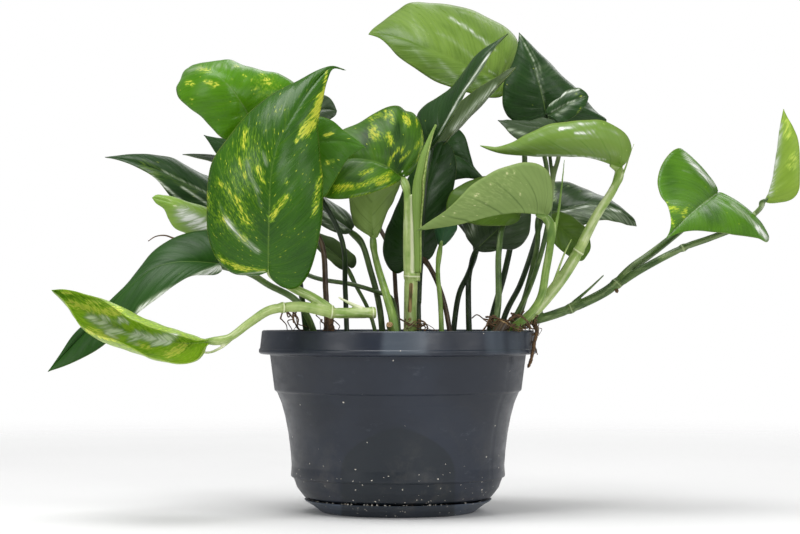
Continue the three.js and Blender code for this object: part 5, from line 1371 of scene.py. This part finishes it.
def rolled_leaf_mesh(material):
    """A young leaf still rolled up: one sheet wound round itself, pointed at the top."""
    rows, columns = ROLLED_GRID
    s = np.linspace(0, 1, rows + 1)
    centres = smooth_path(places(ROLLED_PATH), s)
    radii = np.interp(s, np.linspace(0, 1, len(ROLLED_RADII)), ROLLED_RADII) * MM
    radii = np.convolve(np.pad(radii, 4, mode="edge"), np.ones(9) / 9, mode="valid")
    turn = np.linspace(0, 1, columns + 1)
    angle = 2 * math.pi * ROLLED_TURNS * turn[None, :] + 0.5 * s[:, None] + 0.75
    sheet = swept(centres, radii[:, None] * (1 - ROLLED_TIGHTNESS * turn[None, :]), angle).reshape(-1, 3)
    index = np.arange(len(sheet)).reshape(rows + 1, columns + 1)
    quads = grid_quads(index, flipped=True)
    shift = 0.5 * BLADE_THICKNESS * vertex_normals(sheet, quads)
    border = np.concatenate([index[1:-1, 0], index[-1, :-1], index[1:, -1][::-1], index[0, :][::-1]])
    mesh = closed_sheet("leaf_rolled_blade", sheet + shift, sheet - shift, quads, border, [material])
    across = np.tile(2 * turn - 1, rows + 1)
    along = np.repeat(s, columns + 1)
    shares = np.stack([across, along, along + across * 5], 1)
    spread = np.stack([along * 8, across * 2, np.full(len(across), 9.0)], 1)
    store(mesh, "blade_space", np.tile(shares, (2, 1)))
    store(mesh, "vein_space", np.tile(spread, (2, 1)))
    store(mesh, "pale", np.tile(np.where(across < PALE_EDGE, 1.2, 0.0), 2))
    return mesh


# ---- stalks ------------------------------------------------------------------------------------------

STALK_VOXEL = 0.36 * MM  # of the skin drawn over the branches of a stalk
SKIN_SOFTENING = (0.5, 5)  # how strongly and how often that skin is smoothed
SAMPLE_STEP = 0.8 * MM  # along a branch
NODE_REACH = 6 * MM  # from a node's middle, as far as its ring is drawn
CUT_DEPTH = 0.45 * MM  # how much of a cut stem counts as its end
CUT_REACH = 4 * MM  # from the middle of the cut
BRANCH_SHIFT = 3.7  # cm, between the branches in the material's space
FLESHY = dict(sides=18, channel=0.14, ribs=0.03)
SHRIVELLED = dict(sides=10, channel=0.25, ribs=0.12)
THREAD = dict(sides=8, channel=0.2, ribs=0.1)


def joint_shape(to_joint):
    """A petiole's radius near its leaf: swollen just below the joint, then fading into the midrib."""
    swollen = smoothstep(11 * MM, 6 * MM, to_joint) * smoothstep(-1 * MM, 3 * MM, to_joint)
    return (1 + 0.24 * swollen) * (0.22 + 0.78 * smoothstep(-8.5 * MM, 0.5 * MM, to_joint))


def rounded_end(radii, to_end):
    """Radii that end in half a ball."""
    share = np.minimum(to_end / radii[-1], 1)
    return radii * np.sqrt(np.clip(1 - (1 - share) ** 2, 0.02, 1))


def branch_centres(branch, blades):
    """A branch's centre line and radii; one with a leaf runs on into the underside of its midrib."""
    path = places(branch["path"])
    joint_share = 1.0
    if "leaf" in branch:
        before = path_length(path)
        path = np.vstack([path[:-1], blades[branch["leaf"]].under_midrib])
        joint_share = before / path_length(path)
    length = path_length(path)
    s = np.linspace(0, 1, max(6, round(length / SAMPLE_STEP)) + 1)
    radii = np.interp(s, [0, joint_share], branch["radius"]) * MM
    if "leaf" in branch:
        radii = radii * joint_shape((joint_share - s) * length)
    elif not branch.get("cut"):
        radii = rounded_end(radii, (1 - s) * length)
    return smooth_path(path, s), radii


def ringed(centres, radii, rings):
    """The radii with the swollen ring and the neck of each node."""
    seen = seen_at(centres)
    for ring in rings:
        off = np.linalg.norm(seen - ring, axis=1)
        radii = radii + (0.42 * bell(off, 1.3) - 0.16 * bell(off - 2.6, 0.8)) * MM
    return radii


def bar(centres, radii, sides, channel, ribs):
    """Vertices and faces of a closed bar along the centres, with a channel on its upper side."""
    angle = np.arange(sides) * 2 * math.pi / sides
    shape = 1 - channel * np.maximum(0, np.cos(angle)) ** 6 + ribs * np.cos(5 * angle + 0.6)
    return closed_tube(swept(centres, radii[:, None] * shape, angle), centres[0], centres[-1])


def grown_together(vertices, faces):
    """One skin drawn over overlapping bars, softened where they meet."""
    holder = placed("bars", mesh_of("bars", vertices, faces))
    skin = holder.modifiers.new("skin", "REMESH")
    skin.mode = "VOXEL"
    skin.voxel_size = STALK_VOXEL
    soften = holder.modifiers.new("soften", "SMOOTH")
    soften.factor, soften.iterations = SKIN_SOFTENING
    grown = with_modifiers(holder)
    discard(holder)
    points = np.empty(len(grown.vertices) * 3)
    grown.vertices.foreach_get("co", points)
    polygons = [tuple(polygon.vertices) for polygon in grown.polygons]
    bpy.data.meshes.remove(grown)
    return points.reshape(-1, 3), polygons


def stem_space(vertices, branches):
    """Straightened places in centimetres, across, across and along, in the first branch that is near."""
    space = np.zeros((len(vertices), 3))
    nearest = np.full(len(vertices), np.inf)
    for number, (centres, radii) in enumerate(branches):
        tree = KDTree(len(centres))
        for i, centre in enumerate(centres):
            tree.insert(centre, i)
        tree.balance()
        index = np.array([tree.find(vertex)[1] for vertex in vertices])
        off = vertices - centres[index]
        reach = np.linalg.norm(off, axis=1) / radii[index]
        closer = (nearest > 1.3) & (reach < nearest)
        nearest[closer] = reach[closer]
        tangent, normal, binormal = (part[index] for part in section_frames(centres))
        along = run_lengths(centres)[index] + np.sum(off * tangent, 1)
        local = np.stack([np.sum(off * normal, 1), np.sum(off * binormal, 1), along], 1)
        space[closer] = (local / CM + (0, 0, BRANCH_SHIFT * number))[closer]
    return space


def node_rings(vertices, branches, rings):
    """How far along the stem, in metres, each vertex lies from the nearest of the nodes' rings."""
    away = np.full(len(vertices), 1.0)
    for ring in rings:
        offs = [np.linalg.norm(seen_at(centres) - ring, axis=1) for centres, _ in branches]
        nearest = min(range(len(offs)), key=lambda number: offs[number].min())
        centres, k = branches[nearest][0], int(offs[nearest].argmin())
        tangent = unit(centres[min(k + 1, len(centres) - 1)] - centres[max(k - 1, 0)])
        off = vertices - centres[k]
        near = np.linalg.norm(off, axis=1) < NODE_REACH
        away = np.where(near, np.minimum(away, np.abs(off @ tangent)), away)
    return away


def on_cut(point, centres):
    """Whether a point of the skin lies on the cut at the end of a branch."""
    off = point - centres[-1]
    outward = unit(centres[-1] - centres[-2])
    return np.dot(off, outward) > -CUT_DEPTH and np.linalg.norm(off) < CUT_REACH


def stalk_mesh(name, stalk, blades, skin, dry, cut):
    """All branches of a stalk: the fleshy ones grown together, the dry ones standing in them."""
    rings = stalk.get("rings", ())
    fleshy, thin, branches, cuts = [], [], [], []
    for branch in stalk["branches"]:
        centres, radii = branch_centres(branch, blades)
        radii = ringed(centres, radii, rings)
        branches.append((centres, radii))
        if branch.get("dry"):
            crumple = random.Random(name)
            rough = np.array([crumple.uniform(0.8, 1.15) for _ in radii])
            thin.append(bar(centres, radii * rough, **SHRIVELLED))
        else:
            fleshy.append(bar(centres, radii, **FLESHY))
        if branch.get("cut"):
            cuts.append(centres)
    grown = grown_together(*joined(fleshy))
    vertices, faces = joined([grown, *thin])
    kinds = [0 if i < len(grown[1]) else 1 for i in range(len(faces))]
    for centres in cuts:
        kinds = [2 if kind == 0 and on_cut(vertices[face[0]], centres) else kind
                 for kind, face in zip(kinds, faces)]
    mesh = mesh_of(name + "_skin", vertices, faces, [skin, dry, cut], kinds)
    store(mesh, "stem_space", stem_space(vertices, branches))
    seen = seen_at(vertices)
    from_ring = node_rings(vertices, branches, rings) / MM
    store(mesh, "pale", stroke_amount(seen, stalk.get("pale", ())) + 0.8 * bell(from_ring, 0.42))
    store(mesh, "scar", stroke_amount(seen, stalk.get("scars", ())) + 0.5 * bell(from_ring - 0.9, 0.45))
    return mesh


# ---- pot, saucer and soil ----------------------------------------------------------------------------
# Profiles are (radius, height) in millimetres.

POT_OUTSIDE = [
    (0, 4), (36, 4), (36.6, 1.8), (38.6, 1.8), (39.2, 4), (42, 4), (45, 6.3), (50.5, 8.3), (54.3, 13.2),
    (56.3, 18.6), (57.7, 19.1), (57.3, 25), (57.9, 33), (59.0, 42), (60.7, 51), (62.7, 58.4), (65.2, 64.4),
    (66.5, 65.2), (69, 84.5), (73.9, 84.7), (75, 85.6), (74.9, 87.3), (74.35, 87.8), (73.35, 96.8),
    (72.8, 97.4),
]
POT_INSIDE = [
    (71.6, 97.4), (71.8, 86.5), (67.6, 86.1), (65, 66.3), (60.3, 55.6), (56, 32.8), (55.2, 19), (48.6, 9.6),
    (41, 5.6), (0, 5.6),
]
SAUCER = [
    (0, 0), (41, 0), (42.8, 1.3), (45.6, 3.5), (50.2, 6.3), (50.5, 6.9), (49, 6.9), (44.2, 3.9), (41.3, 1.4),
    (0, 1.4),
]
SOIL_WALL = [
    (71.2, 86.9), (67.1, 86.5), (64.5, 66.6), (59.8, 55.9), (55.5, 33.1), (54.7, 19.3), (48.1, 9.9),
    (40.5, 5.9), (0, 5.9),
]
POT_FILLET = 0.7
SAUCER_FILLET = 0.5
FILLET_STEPS = 4
TURN_STEPS = 240
SHARP = math.radians(40)  # an edge that turns more than this shades as an edge

DRAIN_HOLES = 8
DRAIN_CIRCLE_RADIUS = 28
DRAIN_PEG = np.array([(0, 2), (4, 2), (4, 8), (0, 8)])  # cuts one hole
PEG_STEPS = 32

PANEL = (math.radians(-82), math.radians(-65))  # the raised field on the rim band
PANEL_HEIGHTS = (88.8, 95.8)
PANEL_RISE = 0.35
BAND_RADIUS = 72.4  # the outside of the rim band lies beyond this
SEAM = math.radians(-32)  # the mould's parting line
SEAM_WIDTH = 0.012  # in radians
SEAM_DEPTH = 0.22
SEAM_FOOT = 19
SEAM_RADIUS = 57  # the outside of the wall lies beyond this

SOIL_TOP = 89.3
SOIL_RADIUS = 71.2
SOIL_RINGS = 71
MOUNDS = (22, 1.5)  # how wide and how high the soil's mounds are, in millimetres
GRAINS = (2.6, 0.55)
EDGE_DROP = 1.1  # how much lower the soil lies against the pot

SOIL_CRUMBS = 620
BIG_CRUMB_SHARE = 0.2
PERLITE_SHARE = 0.09
PEAT, BARK, PERLITE = range(3)
GAP_CRUMBS = 64
GAP_RADII = (47.8, 50.2)  # of the gap between pot and saucer
SAUCER_LIP = (49, 6.9)  # radius and height of the saucer's inner edge
SAUCER_SLOPE = 0.62
GAP_SIDE = (-97, 34)  # degrees: where round the gap most of its crumbs lie, and how far they spread


def rounded(profile, fillet):
    """The profile with its corners turned into small curves."""
    profile = np.asarray(profile, float)
    result = [profile[0]]
    for before, corner, after in zip(profile, profile[1:], profile[2:]):
        back, on = before - corner, after - corner
        start = corner + unit(back) * min(fillet, 0.4 * np.linalg.norm(back))
        end = corner + unit(on) * min(fillet, 0.4 * np.linalg.norm(on))
        for u in np.linspace(0, 1, FILLET_STEPS + 1):
            result.append((1 - u) ** 2 * start + 2 * u * (1 - u) * corner + u**2 * end)
    result.append(profile[-1])
    return np.array(result)


def turned(profile, swell=None, steps=TURN_STEPS):
    """Vertices and faces of a profile turned about Z, closed on the axis at both ends."""
    angles = np.arange(steps) * 2 * math.pi / steps
    radius, height = (np.tile(profile[1:-1, k:k + 1], steps) for k in (0, 1))
    if swell is not None:
        radius = radius + swell(radius, height, angles[None, :])
    rings = np.stack([radius * np.cos(angles), radius * np.sin(angles), height], 2)
    foot, head = ((0, 0, profile[end, 1]) for end in (0, -1))
    vertices, faces = closed_tube(rings, foot, head)
    return vertices * MM, faces


def plateau(value, low, high, soft):
    """1 between low and high and 0 outside, with soft edges."""
    return smoothstep(low - soft, low + soft, value) * smoothstep(high + soft, high - soft, value)


def pot_swell(radius, height, angle):
    """Raised field on the rim band, and the parting line on the band and the side."""
    turn = (angle + math.pi) % (2 * math.pi) - math.pi
    panel = plateau(turn, *PANEL, 0.01) * plateau(height, *PANEL_HEIGHTS, 0.4) * (radius > BAND_RADIUS)
    seam = bell(turn - SEAM, SEAM_WIDTH) * (height > SEAM_FOOT) * (radius > SEAM_RADIUS)
    return PANEL_RISE * panel - SEAM_DEPTH * seam


def sharpened(mesh):
    """The mesh with its sharp edges marked, so that they shade as edges."""
    shaping = bmesh.new()
    shaping.from_mesh(mesh)
    for edge in shaping.edges:
        edge.smooth = edge.calc_face_angle(0.0) < SHARP
    shaping.to_mesh(mesh)
    shaping.free()
    return mesh


def drain_pegs():
    """A ring of pegs, one for each drainage hole."""
    pegs = []
    peg, faces = turned(DRAIN_PEG, None, PEG_STEPS)
    for index in range(DRAIN_HOLES):
        turn = 2 * math.pi * index / DRAIN_HOLES
        middle = np.array([math.cos(turn), math.sin(turn), 0]) * DRAIN_CIRCLE_RADIUS
        pegs.append((peg + middle * MM, faces))
    return joined(pegs)


def pot_mesh(material):
    """The pot, with its drainage holes cut by the ring of pegs."""
    outline = rounded(POT_OUTSIDE + POT_INSIDE, POT_FILLET)
    body = placed("pot_body", mesh_of("pot_body", *turned(outline, pot_swell), [material]))
    cutter = placed("pegs", mesh_of("pegs", *drain_pegs(), [material]))
    holes = body.modifiers.new("holes", "BOOLEAN")
    holes.object = cutter
    holes.operation = "DIFFERENCE"
    holes.solver = "MANIFOLD"
    mesh = with_modifiers(body)
    mesh.name = "pot_moulded"
    discard(body, cutter)
    return sharpened(mesh)


def soil_height(x, y):
    """Height of the soil above its mean level at a place in millimetres."""
    edge = smoothstep(0.8, 1.0, math.hypot(x, y) / SOIL_RADIUS)
    mounds = noise.fractal(Vector((x / MOUNDS[0], y / MOUNDS[0], 3.7)), 1.0, 2.0, 4)
    grains = noise.fractal(Vector((x / GRAINS[0], y / GRAINS[0], 8.1)), 0.8, 2.0, 3)
    return MOUNDS[1] * mounds * (1 - 0.6 * edge) + GRAINS[1] * grains - EDGE_DROP * edge


def soil_mesh(material):
    """The soil's uneven top on a plain body that fills the pot."""
    radii = np.linspace(0, SOIL_RADIUS, SOIL_RINGS + 1)
    profile = np.array([(radius, SOIL_TOP) for radius in radii] + SOIL_WALL)
    vertices, faces = turned(profile)
    for i in [*range(SOIL_RINGS * TURN_STEPS), len(vertices) - 2]:
        x, y, _ = vertices[i] / MM
        vertices[i, 2] += soil_height(x, y) * MM
    return mesh_of("soil_bed", vertices, [face[::-1] for face in faces], [material])


def lump_shape():
    """A unit ball of triangles to make lumps from."""
    shaping = bmesh.new()
    bmesh.ops.create_icosphere(shaping, subdivisions=2, radius=1.0)
    points = np.array([vertex.co[:] for vertex in shaping.verts])
    faces = [tuple(vertex.index for vertex in face.verts) for face in shaping.faces]
    shaping.free()
    return points, faces


def lumps_mesh(name, spots, materials, seed):
    """Crumbs of soil: each spot is (x, y, z, size, material number), in millimetres."""
    ball, ball_faces = lump_shape()
    dice = random.Random(seed)
    lumps, kinds = [], []
    for x, y, z, size, kind in spots:
        offset = Vector([dice.uniform(0, 99) for _ in range(3)])
        swelling = np.array([1 + 0.45 * noise.noise(Vector(point) * 1.3 + offset) for point in ball])
        squeeze = np.array([dice.uniform(0.6, 1.3), dice.uniform(0.6, 1.3), dice.uniform(0.45, 0.9)])
        turn = dice.uniform(0, 2 * math.pi)
        cos, sin = math.cos(turn), math.sin(turn)
        spin = np.array([[cos, -sin, 0], [sin, cos, 0], [0, 0, 1]])
        points = (ball * swelling[:, None] * squeeze) @ spin.T * size + (x, y, z)
        lumps.append((points * MM, ball_faces))
        kinds += [kind] * len(ball_faces)
    return mesh_of(name, *joined(lumps), materials, kinds)


def soil_crumb_spots():
    """Crumbs of peat and bark, with some white perlite, strewn over the soil."""
    dice = random.Random("crumbs")
    spots = []
    for _ in range(SOIL_CRUMBS):
        radius = (SOIL_RADIUS - 2.5) * math.sqrt(dice.random())
        turn = dice.uniform(0, 2 * math.pi)
        x, y = radius * math.cos(turn), radius * math.sin(turn)
        small = dice.random() < 1 - BIG_CRUMB_SHARE
        size = dice.uniform(0.5, 1.3) if small else dice.uniform(1.3, 2.6)
        kind = PERLITE if dice.random() < PERLITE_SHARE else dice.choice([PEAT, BARK])
        spots.append((x, y, SOIL_TOP + soil_height(x, y) + 0.25 * size, size, kind))
    return spots


def gap_crumb_spots():
    """Crumbs washed out into the gap between pot and saucer, most of them at the front."""
    dice = random.Random("gap")
    spots = []
    for _ in range(GAP_CRUMBS):
        turn = math.radians(dice.gauss(*GAP_SIDE))
        radius = dice.uniform(*GAP_RADII)
        size = dice.uniform(0.22, 0.6)
        below_lip = max(SAUCER_LIP[0] - radius, 0) * SAUCER_SLOPE
        height = SAUCER_LIP[1] - below_lip + 0.6 * size
        kind = dice.choice([PEAT, PERLITE, PERLITE])
        spots.append((radius * math.cos(turn), radius * math.sin(turn), height, size, kind))
    return spots


# ---- roots and fibres --------------------------------------------------------------------------------
# Bundles of roots: where they start and end (boxes of places), how many, and their radius.

ROOT_BUNDLES = [
    dict(start=((46, 100, -40), (60, 106, -24)), end=((44, 97, -50), (72, 98, -30)), count=16, radius=0.55),
    dict(start=((60, 100, -30), (76, 108, -14)), end=((56, 97, -44), (78, 98, -10)), count=14, radius=0.5),
    dict(start=((70, 101, -12), (78, 106, -4)), end=((71, 82, -26), (77, 96, -22)), count=5, radius=0.45),
    dict(start=((-62, 106, -66), (-54, 109, -60)), end=((-60, 97, -40), (-44, 98, -30)),
         count=7, radius=0.5),
    dict(start=((-44, 103, -64), (-36, 106, -58)), end=((-46, 97, -50), (-32, 98, -40)),
         count=7, radius=0.45),
    dict(start=((-4, 100, -46), (16, 104, -34)), end=((-12, 97, -52), (24, 98, -30)), count=9, radius=0.4),
]

# Single dry strands that show: roots and shrivelled tendrils, with the radius at both ends.
STRANDS = [
    dict(radius=(0.5, 0.25),
         path=[(-121, 147, -20), (-126, 148.6, -19), (-131, 148, -19), (-135, 145.5, -20)]),
    dict(radius=(0.6, 0.3), path=[(11, 103, -36), (14.5, 101.5, -40), (16, 98.5, -41), (14, 97, -41)]),
    dict(radius=(0.35, 0.3), path=[(40, 104, -30), (43, 105.7, -36), (49, 101.5, -40), (54, 101, -40)]),
    dict(radius=(0.7, 0.4), path=[(60, 103, -38), (65, 105.5, -42), (70, 102, -46), (72, 98, -47)]),
]
ROOT_SWAY = 2.2  # mm, to each side
ROOT_TAPER = 0.45  # a root's radius at its end, as a share of the first
ROOT_STEPS = 22
STRAND_STEPS = 30


def wandering(start, end, dice):
    """A path from start to end that sways as a root does, in places on the plant."""
    start, end = np.array(start), np.array(end)
    path = [start]
    for share in (0.25, 0.5, 0.75):
        drift = [dice.uniform(-ROOT_SWAY, ROOT_SWAY) for _ in range(3)]
        path.append(start + (end - start) * share + drift)
    return [*path, end]


def roots_mesh(material):
    """Dry aerial roots that hang from the stems' nodes on to the soil, and the single strands."""
    dice = random.Random("roots")
    bars, spaces = [], []

    def add_strand(centres, thickness, rough):
        bars.append(bar(centres, thickness * rough, **THREAD))
        spaces.append(stem_space(bars[-1][0], [(centres, thickness)]))

    for bundle in ROOT_BUNDLES:
        for _ in range(bundle["count"]):
            ends = [[dice.uniform(low, high) for low, high in zip(*bundle[side])]
                    for side in ("start", "end")]
            centres = smooth_path(places(wandering(*ends, dice)), np.linspace(0, 1, ROOT_STEPS))
            radius = bundle["radius"] * dice.uniform(0.6, 1.2) * MM
            rough = np.array([dice.uniform(0.8, 1.2) for _ in centres])
            add_strand(centres, radius * np.linspace(1, ROOT_TAPER, ROOT_STEPS), rough)
    for strand in STRANDS:
        centres = smooth_path(places(strand["path"]), np.linspace(0, 1, STRAND_STEPS))
        add_strand(centres, np.linspace(*strand["radius"], STRAND_STEPS) * MM, 1.0)
    mesh = mesh_of("roots", *joined(bars), [material])
    store(mesh, "stem_space", np.vstack(spaces))
    return mesh


# ---- floor and light ---------------------------------------------------------------------------------

FLOOR_SIZE = 4.0
FLOOR_CELLS = 12
AMBIENT = 0.34  # strength of the white surroundings as a light
BACKDROP = 1.0  # and as they are seen
CAMERA_ACROSS = 1.08 * MM  # from the pot's axis
CLIP_END = 60.0

# Softboxes: place, height aimed at on the pot's axis, size, and power in watts.
SOFTBOXES = {
    "softbox_top": ((-0.3, -0.3, 1.7), 0.15, (1.2, 1.0), 24.0),
    "softbox_left": ((-1.5, -1.3, 0.8), 0.14, (0.6, 1.2), 8.0),
    "softbox_front": ((0.95, -2.0, 0.9), 0.14, (0.6, 1.2), 12.0),
    "softbox_right": ((1.7, -0.9, 0.8), 0.12, (0.7, 1.2), 6.0),
    "softbox_back": ((0.5, 1.5, 1.2), 0.16, (1.2, 0.9), 6.0),
}


def floor_mesh(material):
    """A wide level floor."""
    side = np.linspace(-FLOOR_SIZE / 2, FLOOR_SIZE / 2, FLOOR_CELLS + 1)
    x, y = np.meshgrid(side, side)
    vertices = np.stack([x.ravel(), y.ravel(), np.zeros(x.size)], 1)
    index = np.arange(x.size).reshape(x.shape)
    return mesh_of("floor", vertices, grid_quads(index, flipped=True).tolist(), [material])


def add_softbox(name, place, aim, size, power):
    """A rectangular softbox at a place, turned to a height on the pot's axis."""
    lamp = bpy.data.lights.new(name, "AREA")
    lamp.shape = "RECTANGLE"
    lamp.size, lamp.size_y = size
    lamp.energy = power
    holder = placed(name, lamp)
    holder.location = place
    holder.rotation_euler = (Vector((0, 0, aim)) - Vector(place)).to_track_quat("-Z", "Y").to_euler()


def studio_world():
    """White surroundings, dimmer as a light than as a backdrop."""
    world = bpy.data.worlds.new("studio")
    world.use_nodes = True
    nodes, links = world.node_tree.nodes, world.node_tree.links
    backdrop = nodes["Background"]
    backdrop.inputs["Color"].default_value = (1.0, 1.0, 1.0, 1.0)
    seen = nodes.new("ShaderNodeLightPath").outputs["Is Camera Ray"]
    strength = nodes.new("ShaderNodeMapRange")
    links.new(seen, strength.inputs["Value"])
    strength.inputs["To Min"].default_value = AMBIENT
    strength.inputs["To Max"].default_value = BACKDROP
    links.new(strength.outputs["Result"], backdrop.inputs["Strength"])
    return world


def eye_camera():
    """The camera at the photographed angle."""
    lens = bpy.data.cameras.new("camera")
    lens.lens = LENS
    lens.sensor_width = SENSOR_WIDTH
    lens.clip_end = CLIP_END
    camera = placed("camera", lens)
    camera.location = (CAMERA_ACROSS, EYE[1] * MM, EYE[2] * MM)
    camera.rotation_euler = (math.radians(90 + CAMERA_PITCH), 0.0, 0.0)
    return camera


# ---- the whole plant ---------------------------------------------------------------------------------

dry_skin = dry_material()
cut_end = cut_material()
leaf_skins = {
    name: (leaf_material(f"leaf_{name}", colours), leaf_material(f"leaf_{name}_under", colours, True))
    for name, colours in LOOKS.items()
}
blades = {name: Blade(name, leaf) for name, leaf in LEAVES.items()}
for name, blade in blades.items():
    add_piece(name + "_blade", blade.mesh(*leaf_skins[blade.leaf["look"]]), name)
add_piece("leaf_rolled_blade", rolled_leaf_mesh(leaf_skins["rolled"][1]), "leaf_rolled")

stalk_skins = {name: stalk_material(name, *colours) for name, colours in STALK_COLOURS.items()}
for name, stalk in STALKS.items():
    mesh = stalk_mesh(name, stalk, blades, stalk_skins[stalk["green"]], dry_skin, cut_end)
    add_piece(name + "_skin", mesh, name)

pot_plastic = pot_material("pot_plastic", rgb(27, 33, 44), rgb(35, 42, 55))
# The saucer: the pot's plastic painted lighter, standing in for the light that the pale floor bounces on to
# its side.
saucer_plastic_lightened = pot_material("saucer_plastic_lightened", rgb(60, 70, 84), rgb(74, 85, 101))
soils = [
    soil_material("peat", rgb(24, 17, 12), rgb(66, 48, 34), 240.0),
    soil_material("bark", rgb(58, 38, 24), rgb(112, 80, 52), 160.0),
    soil_material("perlite", rgb(176, 170, 158), rgb(226, 222, 214), 300.0),
]
saucer_shape = turned(rounded(SAUCER, SAUCER_FILLET))
add_piece("pot_moulded", pot_mesh(pot_plastic), "pot")
add_piece("saucer_moulded", sharpened(mesh_of("saucer_moulded", *saucer_shape, [saucer_plastic_lightened])), "saucer")
add_piece("soil_bed", soil_mesh(soils[PEAT]), "potting_soil")
add_piece("soil_crumbs", lumps_mesh("soil_crumbs", soil_crumb_spots(), soils, "crumbs"))
add_piece("gap_crumbs", lumps_mesh("gap_crumbs", gap_crumb_spots(), soils, "gap"))
add_piece("roots", roots_mesh(dry_skin))

# ---- the studio --------------------------------------------------------------------------------------

placed("floor", floor_mesh(floor_material()))
for name, settings in SOFTBOXES.items():
    add_softbox(name, *settings)
bpy.context.scene.world = studio_world()
bpy.context.scene.view_settings.view_transform = "Standard"
bpy.context.scene.camera = eye_camera()
